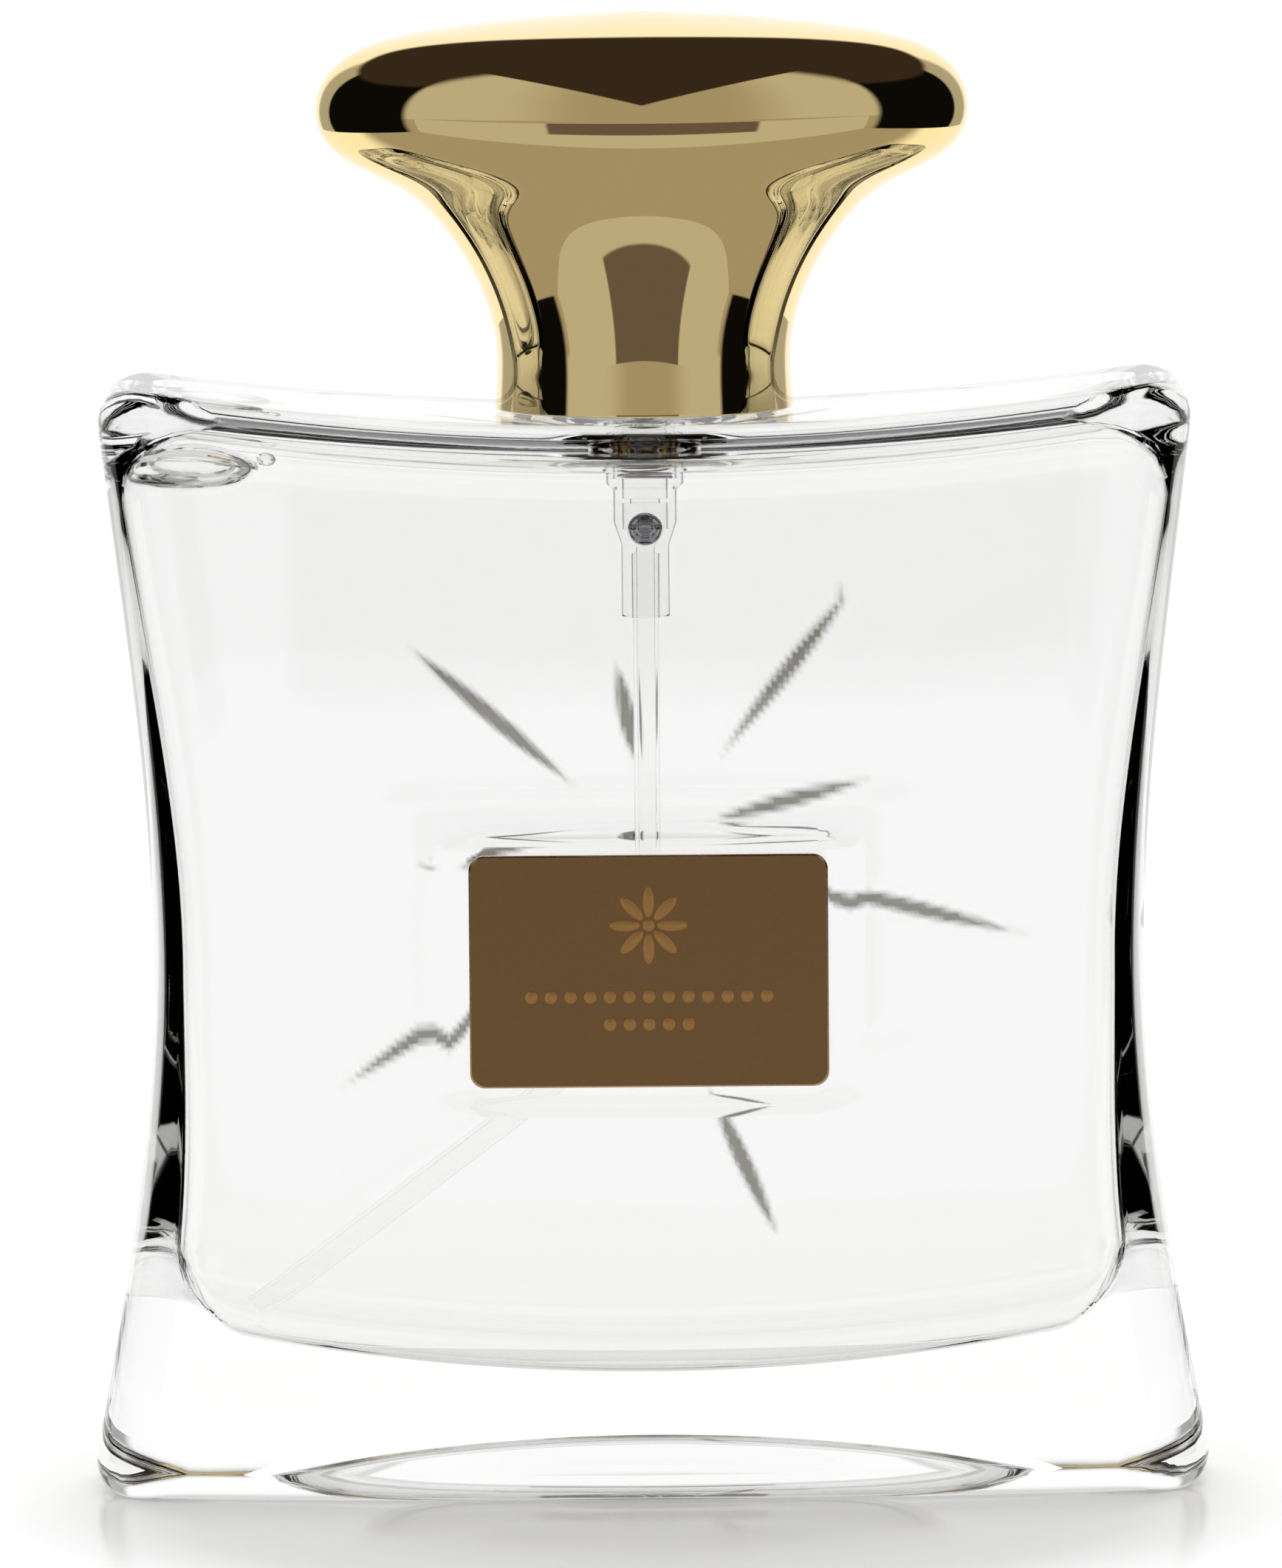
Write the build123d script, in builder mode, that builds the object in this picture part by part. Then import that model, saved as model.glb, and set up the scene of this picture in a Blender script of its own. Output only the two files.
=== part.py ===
"""Perfume bottle with a spray pump and a flared over-cap.

Millimetres. +Z is up and the plaque faces -Y. The origin is on the surface that the bottle
stands on, below the centre of the neck. The pieces are modelled with the cap on and the
pump at rest.
"""

import os
from math import hypot, radians, sqrt, tan

from build123d import *

os.makedirs("parts", exist_ok=True)


# ---- driving dimensions: glass bottle ----
FOOT_WIDTH = 98.4  # across the sides where they would meet the ground
WAIST_WIDTH = 86.3
SHOULDER_WIDTH = 96.0  # across the sides where they would meet the shoulder
WAIST_HEIGHT = 46.3
SHOULDER_HEIGHT = 97.4  # at the two corners
SADDLE_HEIGHT = 93.6  # at the neck, where the shoulder dips
FOOT_SPLAY = 0.20  # how far the sides lean out per mm at the foot
SHOULDER_SPLAY = 0.11  # and at the shoulder
BODY_DEPTH = 34.0  # front to back at the middle
EDGE_DEPTH = 25.0  # front to back at the sides
FOOT_CORNER = 3.4
SHOULDER_CORNER = 4.4
EDGE_ROUND = 2.5  # rounding of the front and back edges

FACE_WALL = 3.3
SIDE_WALL = 4.0  # at the waist
FOOT_WALL = 8.2  # from the side to the inside at the foot
SHOULDER_WALL = 3.0
FLOOR_HEIGHT = 11.0  # inside, at the middle
FLOOR_RISE = 4.2  # how far the floor rises towards the sides
INNER_CORNER = 7.0
INNER_ROUND = 4.0

BUBBLE_RADIUS = 5.4  # air left above the fragrance
BUBBLE_INSET = 6.05  # from the inside of the shoulder

FOOT_RIM_ENDS = 9.2  # flat rim that the bottle stands on, at the two ends
FOOT_RIM_SIDES = 6.0  # and along the front and back
PUNT_RISE = 5.4

NECK_DIAMETER = 13.2
NECK_HEIGHT = 7.0  # above the saddle
BEAD_DIAMETER = 15.0
BEAD_HEIGHT = 3.2
NECK_CLEARANCE = 0.6  # radial, round the pump's barrel
NECK_ROOT_ROUND = 0.6

# ---- plaque in its recess ----
PLAQUE_WIDTH = 31.1
PLAQUE_HEIGHT = 20.2
PLAQUE_THICKNESS = 0.8
PLAQUE_CORNER = 1.3
PLAQUE_CENTRE_HEIGHT = 46.4
ADHESIVE_THICKNESS = 0.15
RELIEF = 0.12
ROSETTE_HEIGHT = 50.4
ROSETTE_RADIUS = 3.4
BEAD_ROW_HEIGHT = 44.2
BEAD_PITCH = 1.7
LONG_ROW = 13
SHORT_ROW = 5
RECESS_MARGIN = 1.2  # bare glass round the plaque
RECESS_DEPTH = 1.3  # at the middle of the face
RECESS_SLOPE = 35.0  # degrees that the recess walls lean out

# ---- wheel cuts across the back: (x, z) of each cut's two ends ----
CUT_ENDS = [
    ((-20.4, 72.9), (-6.0, 60.1)),
    ((-2.5, 71.2), (-1.0, 62.2)),
    ((17.9, 78.0), (6.2, 62.8)),
    ((19.1, 60.8), (5.0, 57.0)),
    ((32.1, 47.0), (12.0, 52.0)),
    ((-20.1, 53.2), (-8.0, 56.0)),
    ((-26.2, 34.0), (-12.0, 43.6)),
    ((10.9, 20.2), (5.0, 33.8)),
]
CUT_WIDTH = 1.9
CUT_HALF_ANGLE = 47.0  # degrees from the middle of the groove to its flank

# ---- spray pump ----
STROKE = 4.0
GASKET_THICKNESS = 1.0
FLANGE_DIAMETER = 14.2
FLANGE_THICKNESS = 1.2
BARREL_BORE = 6.8
BARREL_WALL = 0.9
SPRING_POCKET_BORE = 5.2
SPRING_POCKET_DEPTH = 2.8  # below the straight bore
SPRING_POCKET_WALL = 0.8
BALL_DIAMETER = 3.0
BALL_CLEARANCE = 0.35  # radial, in its chamber
BALL_CHAMBER_DEPTH = 5.5
BALL_CHAMBER_WALL = 0.85
SPIGOT_WALL = 0.95  # round the dip tube
SEAT_CONE_HEIGHT = 1.6
INLET_BORE = 1.5
INLET_LENGTH = 0.5
BALL_LIFT = 0.8
BALL_PLAY = 0.02
BALL_STOP_LIP = 0.3  # how far the stop reaches over the ball
BALL_STOP_HEIGHT = 0.5
TUBE_DIAMETER = 2.2
TUBE_BORE = 1.5
TUBE_INSERTION = 5.6
TUBE_KINK_HEIGHT = 41.6  # where its two straight runs would meet
TUBE_BEND = 28.0
TUBE_END_GAPS = (6.8, 4.6)  # from the inside of the foot corner, sideways and up
TURRET_DIAMETER = 11.0
TURRET_PLATE = 0.6
TURRET_BOSS_DIAMETER = 7.4
TURRET_BOSS_HEIGHT = 1.8
SLEEVE_LENGTH = 2.0  # of the turret, down into the barrel
SLEEVE_WALL = 0.65
STEM_DIAMETER = 3.0
STEM_BORE = 1.1
STEM_SHOULDER = 0.5
STEM_SHOULDER_STEP = 0.8  # radial
STEM_FLANGE = 0.8
STEM_NOSE_DIAMETER = 2.6
STEM_NOSE = 1.2
STEM_PORT = 0.8
PISTON_HEIGHT = 3.9
PISTON_CROWN = 1.6
SLIDE_GAP = 0.05  # radial, between parts that slide in each other
WIRE = 0.4
COIL_CLEARANCE = 0.2  # radial, main spring in its pocket
COILS = 8
VALVE_WIRE = 0.3
VALVE_COIL_CLEARANCE = 0.35  # radial, round the stem
VALVE_COILS = 3

# ---- crimp ferrule and collar ----
FERRULE_WALL = 0.4
FERRULE_TUCK = 0.8  # how far the crimped edge turns in below the bead
COLLAR_DIAMETER = 19.8
COLLAR_HEIGHT = 14.6
COLLAR_LIFT = 0.6  # above the glass
COLLAR_MOUTH = 13.8
COLLAR_CHAMFER = 0.4
FIT_GAP = 0.05  # radial, between fixed pieces that fit over each other
STACK_GAP = 0.02  # between pieces that rest on each other

# ---- actuator ----
ACTUATOR_DIAMETER = 13.0
ACTUATOR_HEIGHT = 10.2
ACTUATOR_SHELL_WALL = 0.45
ACTUATOR_SKIRT_BORE = 10.4
SOCKET_BOSS_DIAMETER = 5.6
SOCKET_DEPTH = 3.8
NOZZLE_DIAMETER = 3.9
NOZZLE_LENGTH = 2.6
NOZZLE_ORIFICE = 0.6
NOZZLE_SWIRL = 1.8
CHANNEL_BORE = 1.2
ACTUATOR_ROUND = 0.8

# ---- over-cap ----
CAP_LIFT = 0.5  # rim above the saddle
CAP_HEIGHT = 34.6
CAP_BORE = 22.8
CAP_WALL = 2.2  # measured level
# share of the cap's height, half width, half depth
CAP_SECTIONS = [
    (0.000, 13.0, 12.9),
    (0.136, 12.7, 12.6),
    (0.211, 13.0, 12.6),
    (0.286, 13.8, 12.6),
    (0.361, 15.0, 12.7),
    (0.436, 16.6, 12.9),
    (0.512, 18.8, 13.3),
    (0.549, 20.3, 13.8),
    (0.587, 23.0, 14.4),
    (0.624, 25.7, 15.0),
    (0.662, 27.5, 15.6),
    (0.699, 28.4, 16.0),
    (0.737, 28.7, 16.2),
    (0.775, 28.6, 16.2),
    (0.812, 28.3, 16.0),
    (0.850, 27.6, 15.5),
    (0.896, 25.7, 14.5),
    (0.925, 23.5, 13.4),
    (0.948, 20.4, 11.6),
    (0.971, 14.8, 8.4),
    (0.988, 8.4, 4.8),
    (1.000, 2.5, 1.4),
]
CAP_BANDS = 2  # conical bands between two sections
CAP_WIDEST = 0.74  # share of the height above which the wall also thins downwards
LINER_BORE = 20.6
LINER_RIBS = 8
RIB_WIDTH = 0.8
LINER_HEAD_BORE = 15.6
LINER_HEAD_DIAMETER = 18.4
LINER_CEILING = 1.4
WEIGHT_LENGTH = 36.0
WEIGHT_WIDTH = 19.0
WEIGHT_THICKNESS = 3.2

# ---- heights worked out from the above ----
NECK_TOP = SADDLE_HEIGHT + NECK_HEIGHT
FLANGE_BOTTOM = NECK_TOP + GASKET_THICKNESS
FLANGE_TOP = FLANGE_BOTTOM + FLANGE_THICKNESS
TURRET_TOP = FLANGE_TOP + TURRET_PLATE
FERRULE_TOP = TURRET_TOP + FERRULE_WALL
PISTON_TOP = FLANGE_TOP - SLEEVE_LENGTH - 0.4
PISTON_BOTTOM = PISTON_TOP - PISTON_HEIGHT
BORE_BOTTOM = PISTON_BOTTOM - STROKE - 0.3
SPRING_SEAT = BORE_BOTTOM - SPRING_POCKET_DEPTH
CHAMBER_FLOOR = SPRING_SEAT - BALL_CHAMBER_DEPTH
CONE_FOOT = CHAMBER_FLOOR - SEAT_CONE_HEIGHT
TUBE_STOP = CONE_FOOT - INLET_LENGTH
SPIGOT_END = TUBE_STOP - TUBE_INSERTION
TUBE_END = (
    FOOT_WALL + TUBE_END_GAPS[0] - FOOT_WIDTH / 2,
    FLOOR_HEIGHT + TUBE_END_GAPS[1],
)
FLANGE_LEVEL = PISTON_TOP - PISTON_CROWN - STEM_FLANGE - 0.2  # underside of the stem's flange
SHOULDER_TOP = FLANGE_TOP - 0.05
ACTUATOR_BOTTOM = FERRULE_TOP + STROKE + 0.4
ACTUATOR_TOP = ACTUATOR_BOTTOM + ACTUATOR_HEIGHT
SOCKET_BOTTOM = TURRET_TOP + TURRET_BOSS_HEIGHT + STROKE + 0.4
SOCKET_TOP = SOCKET_BOTTOM + SOCKET_DEPTH
NOZZLE_LEVEL = SOCKET_TOP + NOZZLE_DIAMETER / 2 - 0.8
COLLAR_BOTTOM = SADDLE_HEIGHT + COLLAR_LIFT
COLLAR_TOP = COLLAR_BOTTOM + COLLAR_HEIGHT
CAP_RIM = SADDLE_HEIGHT + CAP_LIFT
LINER_INSIDE = ACTUATOR_TOP + 1.2
LINER_TOP = LINER_INSIDE + LINER_CEILING
HALF_EDGE_DEPTH = EDGE_DEPTH / 2
HALF_DEPTH = BODY_DEPTH / 2
RECESS_FLOOR = HALF_DEPTH - RECESS_DEPTH  # from the middle plane
BARREL_DIAMETER = BARREL_BORE + 2 * BARREL_WALL
NECK_BORE = BARREL_DIAMETER + 2 * NECK_CLEARANCE
GASKET_BORE = BARREL_DIAMETER + NECK_CLEARANCE
BARREL_STEP_DIAMETER = SPRING_POCKET_BORE + 2 * SPRING_POCKET_WALL
BALL_CHAMBER_BORE = BALL_DIAMETER + 2 * BALL_CLEARANCE
BALL_STOP_BORE = BALL_DIAMETER - 2 * BALL_STOP_LIP
VALVE_BODY_DIAMETER = BALL_CHAMBER_BORE + 2 * BALL_CHAMBER_WALL
SPIGOT_DIAMETER = TUBE_DIAMETER + 2 * SPIGOT_WALL
SLEEVE_BORE = BARREL_BORE - 2 * SLIDE_GAP - 2 * SLEEVE_WALL
STEM_SHOULDER_DIAMETER = STEM_DIAMETER + 2 * STEM_SHOULDER_STEP
STEM_FLANGE_DIAMETER = SPRING_POCKET_BORE - 0.3
COIL_DIAMETER = SPRING_POCKET_BORE - 2 * COIL_CLEARANCE - WIRE
VALVE_COIL_DIAMETER = STEM_DIAMETER + 2 * VALVE_COIL_CLEARANCE + VALVE_WIRE
# the plan outline runs past the widest point
PLAN_REACH = max(FOOT_WIDTH, SHOULDER_WIDTH, WAIST_WIDTH) / 2 + 2.0


# ---------------------------------------------------------------- glass body
def front_outline(foot, waist, shoulder, low, high, dip, bulge, corners):
    """Outline seen from the front: two hollow sides, a dipped top, and a floor at low.

    foot, waist and shoulder are half widths, high is the top corners' height, dip the
    height at the neck, and bulge how far the floor sags below low at the middle.
    """
    with BuildSketch(Plane.XZ.offset(-BODY_DEPTH)) as outline:
        with BuildLine():
            Spline(
                (foot, low),
                (waist, WAIST_HEIGHT),
                (shoulder, high),
                tangents=[(-FOOT_SPLAY, 1), (SHOULDER_SPLAY, 1)],
            )
            ThreePointArc((shoulder, high), (0, dip), (-shoulder, high))
            Spline(
                (-shoulder, high),
                (-waist, WAIST_HEIGHT),
                (-foot, low),
                tangents=[(SHOULDER_SPLAY, -1), (-FOOT_SPLAY, -1)],
            )
            if bulge > 0:
                ThreePointArc((-foot, low), (0, low - bulge), (foot, low))
            else:
                Line((-foot, low), (foot, low))
        make_face()
        fillet(outline.vertices().group_by(Axis.Y)[0], corners[0])
        fillet(outline.vertices().group_by(Axis.Y)[-1], corners[1])
    return outline.sketch


def plan_outline(middle, side):
    """Outline seen from above: crowned front and back between two flat ends."""
    with BuildSketch(Plane.XY) as plan:
        with BuildLine():
            ThreePointArc((-PLAN_REACH, -side), (0, -middle), (PLAN_REACH, -side))
            Line((PLAN_REACH, -side), (PLAN_REACH, side))
            ThreePointArc((PLAN_REACH, side), (0, middle), (-PLAN_REACH, side))
            Line((-PLAN_REACH, side), (-PLAN_REACH, -side))
        make_face()
    return plan.sketch


def pillow(front, plan, rounding):
    """The block that has both outlines, with its front and back edges rounded."""
    with BuildPart() as block:
        extrude(front, amount=2 * BODY_DEPTH)
        extrude(plan, amount=SHOULDER_HEIGHT + 10.0, mode=Mode.INTERSECT)
        front_edges = block.faces().sort_by(Axis.Y)[0].edges()
        back_edges = block.faces().sort_by(Axis.Y)[-1].edges()
        fillet(front_edges + back_edges, rounding)
    return block.part


def cavity(inset):
    """The space inside the glass, made smaller all round by inset."""
    outline = front_outline(
        foot=FOOT_WIDTH / 2 - FOOT_WALL - inset,
        waist=WAIST_WIDTH / 2 - SIDE_WALL - inset,
        shoulder=SHOULDER_WIDTH / 2 - SHOULDER_WALL - inset,
        low=FLOOR_HEIGHT + FLOOR_RISE + inset,
        high=SHOULDER_HEIGHT - SHOULDER_WALL - inset,
        dip=SADDLE_HEIGHT - SHOULDER_WALL - inset,
        bulge=FLOOR_RISE,
        corners=(INNER_CORNER, INNER_CORNER),
    )
    plan = plan_outline(HALF_DEPTH - FACE_WALL - inset, HALF_EDGE_DEPTH - FACE_WALL - inset)
    return pillow(outline, plan, INNER_ROUND)


def turned(points):
    """A solid turned about Z from (radius, height) points."""
    with BuildPart() as blank:
        with BuildSketch(Plane.XZ):
            with BuildLine():
                Polyline(*points, close=True)
            make_face()
        revolve(axis=Axis.Z)
    return blank.part


def wheel_cut(start, end):
    """The edge of a grinding wheel, sunk into the back so that it cuts from start to end."""
    length = hypot(end[0] - start[0], end[1] - start[1])
    depth = CUT_WIDTH / 2 / tan(radians(CUT_HALF_ANGLE))
    radius = length**2 / (8 * depth)
    middle_x = (start[0] + end[0]) / 2
    middle_z = (start[1] + end[1]) / 2
    crown = (PLAN_REACH**2 + (HALF_DEPTH - HALF_EDGE_DEPTH) ** 2) / (2 * (HALF_DEPTH - HALF_EDGE_DEPTH))
    surface_y = HALF_DEPTH - crown + sqrt(crown**2 - middle_x**2)
    normal = Vector(middle_x / crown, sqrt(1 - (middle_x / crown) ** 2), 0)
    along = Vector(end[0] - start[0], 0, end[1] - start[1])
    spindle = normal.cross(along)
    centre = Vector(middle_x, surface_y, middle_z) + normal * (radius - depth)
    bevel = 3 * depth * tan(radians(CUT_HALF_ANGLE))
    with BuildPart() as wheel:
        with BuildSketch(Plane(origin=centre, x_dir=normal * -1, z_dir=along)):
            with BuildLine():
                Polyline(
                    (0, -bevel), (radius - 3 * depth, -bevel), (radius, 0),
                    (radius - 3 * depth, bevel), (0, bevel), close=True,
                )
            make_face()
        revolve(axis=Axis(centre, spindle))
    return wheel.part


def coil(wire, mean, turns, low, high):
    """A wire spring between two heights."""
    pitch = (high - low - wire) / turns
    with BuildPart() as spring:
        with BuildLine():
            helix = Helix(pitch, high - low - wire, mean / 2, center=(0, 0, low + wire / 2))
        with BuildSketch(Plane(origin=helix @ 0, z_dir=helix % 0)):
            Circle(wire / 2)
        sweep(path=helix, is_frenet=True)
    return spring.part


def cap_size(share, column):
    """Half width (column 1) or half depth (2) at a share of the height, eased between sections."""
    last = len(CAP_SECTIONS) - 1
    step = max(index for index in range(last) if CAP_SECTIONS[index][0] <= share)
    around = [CAP_SECTIONS[min(max(step + offset, 0), last)] for offset in (-1, 0, 1, 2)]
    gap = around[2][0] - around[1][0]
    part = (share - around[1][0]) / gap
    start_slope = (around[2][column] - around[0][column]) / (around[2][0] - around[0][0]) * gap
    end_slope = (around[3][column] - around[1][column]) / (around[3][0] - around[1][0]) * gap
    return (
        around[1][column] * (2 * part**3 - 3 * part**2 + 1)
        + start_slope * (part**3 - 2 * part**2 + part)
        + around[2][column] * (3 * part**2 - 2 * part**3)
        + end_slope * (part**3 - part**2)
    )


def cap_form(inset, sections):
    """The cap's outer form over the given sections, made smaller all round by inset."""
    shares = []
    for lower, upper in zip(sections, sections[1:]):
        for step in range(CAP_BANDS):
            shares.append(lower[0] + (upper[0] - lower[0]) * step / CAP_BANDS)
    shares.append(sections[-1][0])
    with BuildPart() as form:
        for share in shares:
            sink = inset * max(0.0, (share - CAP_WIDEST) / (1 - CAP_WIDEST))
            with BuildSketch(Plane.XY.offset(CAP_RIM + share * CAP_HEIGHT - sink)):
                Ellipse(cap_size(share, 1) - inset, cap_size(share, 2) - inset)
        loft(ruled=True)
    return form.part


BODY_FRONT = front_outline(
    foot=FOOT_WIDTH / 2,
    waist=WAIST_WIDTH / 2,
    shoulder=SHOULDER_WIDTH / 2,
    low=0,
    high=SHOULDER_HEIGHT,
    dip=SADDLE_HEIGHT,
    bulge=0,
    corners=(FOOT_CORNER, SHOULDER_CORNER),
)
BODY_PLAN = plan_outline(HALF_DEPTH, HALF_EDGE_DEPTH)
RECESS_SIZE = (PLAQUE_WIDTH + 2 * RECESS_MARGIN, PLAQUE_HEIGHT + 2 * RECESS_MARGIN)

neck_radius = NECK_DIAMETER / 2
bead_radius = BEAD_DIAMETER / 2
bead_foot = NECK_TOP - BEAD_HEIGHT
bore_foot = SADDLE_HEIGHT - SHOULDER_WALL - 2.0
neck_blank = turned([
    (0, SADDLE_HEIGHT - 1.5),
    (neck_radius + NECK_ROOT_ROUND, SADDLE_HEIGHT - 1.5),
    (neck_radius + NECK_ROOT_ROUND, SADDLE_HEIGHT + NECK_ROOT_ROUND / 2),
    (neck_radius, SADDLE_HEIGHT + 2 * NECK_ROOT_ROUND),
    (neck_radius, bead_foot),
    (bead_radius, bead_foot + (bead_radius - neck_radius) / 2),
    (bead_radius, NECK_TOP - 0.5),
    (bead_radius - 0.5, NECK_TOP),
    (0, NECK_TOP),
])
neck_bore = turned([
    (0, bore_foot),
    (NECK_BORE / 2, bore_foot),
    (NECK_BORE / 2, NECK_TOP - 0.4),
    (NECK_BORE / 2 + 0.4, NECK_TOP),
    (0, NECK_TOP),
])
body_blank = pillow(BODY_FRONT, BODY_PLAN, EDGE_ROUND)
inside = cavity(0)
wheels = [wheel_cut(cut_start, cut_end) for cut_start, cut_end in CUT_ENDS]

with BuildPart() as glass_bottle:
    add(body_blank)
    add(neck_blank)
    add(inside, mode=Mode.SUBTRACT)
    add(neck_bore, mode=Mode.SUBTRACT)
    # the foot is hollowed, so that the bottle stands on its rim
    with BuildSketch(Plane.XY):
        Ellipse(FOOT_WIDTH / 2 - FOOT_RIM_ENDS, HALF_DEPTH - FOOT_RIM_SIDES)
    extrude(amount=PUNT_RISE, mode=Mode.SUBTRACT, taper=30)
    # the plaque's recess, its walls leaning out
    with BuildSketch(Plane.XZ.offset(RECESS_FLOOR)):
        with Locations((0, PLAQUE_CENTRE_HEIGHT)):
            RectangleRounded(*RECESS_SIZE, PLAQUE_CORNER + RECESS_MARGIN)
    extrude(amount=3.0, taper=-RECESS_SLOPE, mode=Mode.SUBTRACT)
    for wheel in wheels:
        add(wheel, mode=Mode.SUBTRACT)
glass_bottle.part.label = "glass_bottle"
export_step(glass_bottle.part, "parts/glass_bottle.step")


# ---------------------------------------------------------------- dip tube
with BuildPart() as dip_tube:
    with BuildLine(Plane.XZ):
        tube_path = FilletPolyline(
            (0, TUBE_STOP - STACK_GAP), (0, TUBE_KINK_HEIGHT), TUBE_END, radius=TUBE_BEND
        )
    with BuildSketch(Plane.XY.offset(TUBE_STOP - STACK_GAP)):
        Circle(TUBE_DIAMETER / 2)
        Circle(TUBE_BORE / 2, mode=Mode.SUBTRACT)
    sweep(path=tube_path)
dip_tube.part.label = "dip_tube"
export_step(dip_tube.part, "parts/dip_tube.step")


# ---------------------------------------------------------------- fragrance
# clear of everything round it by the stacking gap, with an air bubble left at one shoulder
liquid_blank = cavity(STACK_GAP)
pump_room = turned([
    (0, SPIGOT_END - STACK_GAP),
    (SPIGOT_DIAMETER / 2 + STACK_GAP, SPIGOT_END - STACK_GAP),
    (SPIGOT_DIAMETER / 2 + STACK_GAP, CONE_FOOT),
    (VALVE_BODY_DIAMETER / 2 + STACK_GAP, CHAMBER_FLOOR + 0.4),
    (VALVE_BODY_DIAMETER / 2 + STACK_GAP, SPRING_SEAT - 1.4),
    (BARREL_STEP_DIAMETER / 2 + STACK_GAP, SPRING_SEAT - 0.7),
    (BARREL_STEP_DIAMETER / 2 + STACK_GAP, SPRING_SEAT + 0.6),
    (NECK_BORE / 2 + 0.2, SPRING_SEAT + 0.6),
    (NECK_BORE / 2 + 0.2, NECK_TOP),
    (0, NECK_TOP),
])
with BuildPart() as fragrance:
    add(liquid_blank)
    add(pump_room, mode=Mode.SUBTRACT)
    with BuildLine(Plane.XZ):
        room_path = FilletPolyline(
            (0, SPIGOT_END + 1.0), (0, TUBE_KINK_HEIGHT), TUBE_END, radius=TUBE_BEND
        )
    with BuildSketch(Plane.XY.offset(SPIGOT_END + 1.0)):
        Circle(TUBE_DIAMETER / 2 + STACK_GAP)
    sweep(path=room_path, mode=Mode.SUBTRACT)
    bubble_x = -SHOULDER_WIDTH / 2 + SHOULDER_WALL + BUBBLE_INSET
    with Locations((bubble_x, 0, SADDLE_HEIGHT - SHOULDER_WALL + 1.2)):
        Sphere(BUBBLE_RADIUS, mode=Mode.SUBTRACT)
fragrance.part.label = "fragrance"
export_step(fragrance.part, "parts/fragrance.step")


# ---------------------------------------------------------------- plaque
with BuildPart() as plaque_adhesive:
    with BuildSketch(Plane.XZ.offset(RECESS_FLOOR)):
        with Locations((0, PLAQUE_CENTRE_HEIGHT)):
            RectangleRounded(PLAQUE_WIDTH - 1.0, PLAQUE_HEIGHT - 1.0, PLAQUE_CORNER)
    extrude(amount=ADHESIVE_THICKNESS)
plaque_adhesive.part.label = "plaque_adhesive"
export_step(plaque_adhesive.part, "parts/plaque_adhesive.step")

with BuildPart() as label_plaque:
    with BuildSketch(Plane.XZ.offset(RECESS_FLOOR + ADHESIVE_THICKNESS)):
        with Locations((0, PLAQUE_CENTRE_HEIGHT)):
            RectangleRounded(PLAQUE_WIDTH, PLAQUE_HEIGHT, PLAQUE_CORNER)
    extrude(amount=PLAQUE_THICKNESS)
    plaque_front = label_plaque.faces().sort_by(Axis.Y)[0]
    chamfer(plaque_front.edges(), 0.15)
    # low relief: a rosette of eight petals over a long and a short row of beads
    with BuildSketch(Plane.XZ.offset(RECESS_FLOOR + ADHESIVE_THICKNESS + PLAQUE_THICKNESS)):
        with Locations((0, ROSETTE_HEIGHT)):
            Circle(0.45)
            with PolarLocations(ROSETTE_RADIUS * 0.62, 8):
                Ellipse(ROSETTE_RADIUS * 0.36, ROSETTE_RADIUS * 0.16)
        with Locations((0, BEAD_ROW_HEIGHT)):
            with GridLocations(BEAD_PITCH, 1, LONG_ROW, 1):
                Circle(0.42)
        with Locations((0, BEAD_ROW_HEIGHT - 2.4)):
            with GridLocations(BEAD_PITCH, 1, SHORT_ROW, 1):
                Circle(0.3)
    extrude(amount=RELIEF)
label_plaque.part.label = "label_plaque"
export_step(label_plaque.part, "parts/label_plaque.step")


# ---------------------------------------------------------------- pump
with BuildPart() as neck_gasket:
    with BuildSketch(Plane.XY.offset(NECK_TOP + STACK_GAP)):
        Circle(FLANGE_DIAMETER / 2)
        Circle(GASKET_BORE / 2, mode=Mode.SUBTRACT)
    extrude(amount=GASKET_THICKNESS - 2 * STACK_GAP)
neck_gasket.part.label = "neck_gasket"
export_step(neck_gasket.part, "parts/neck_gasket.step")

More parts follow.
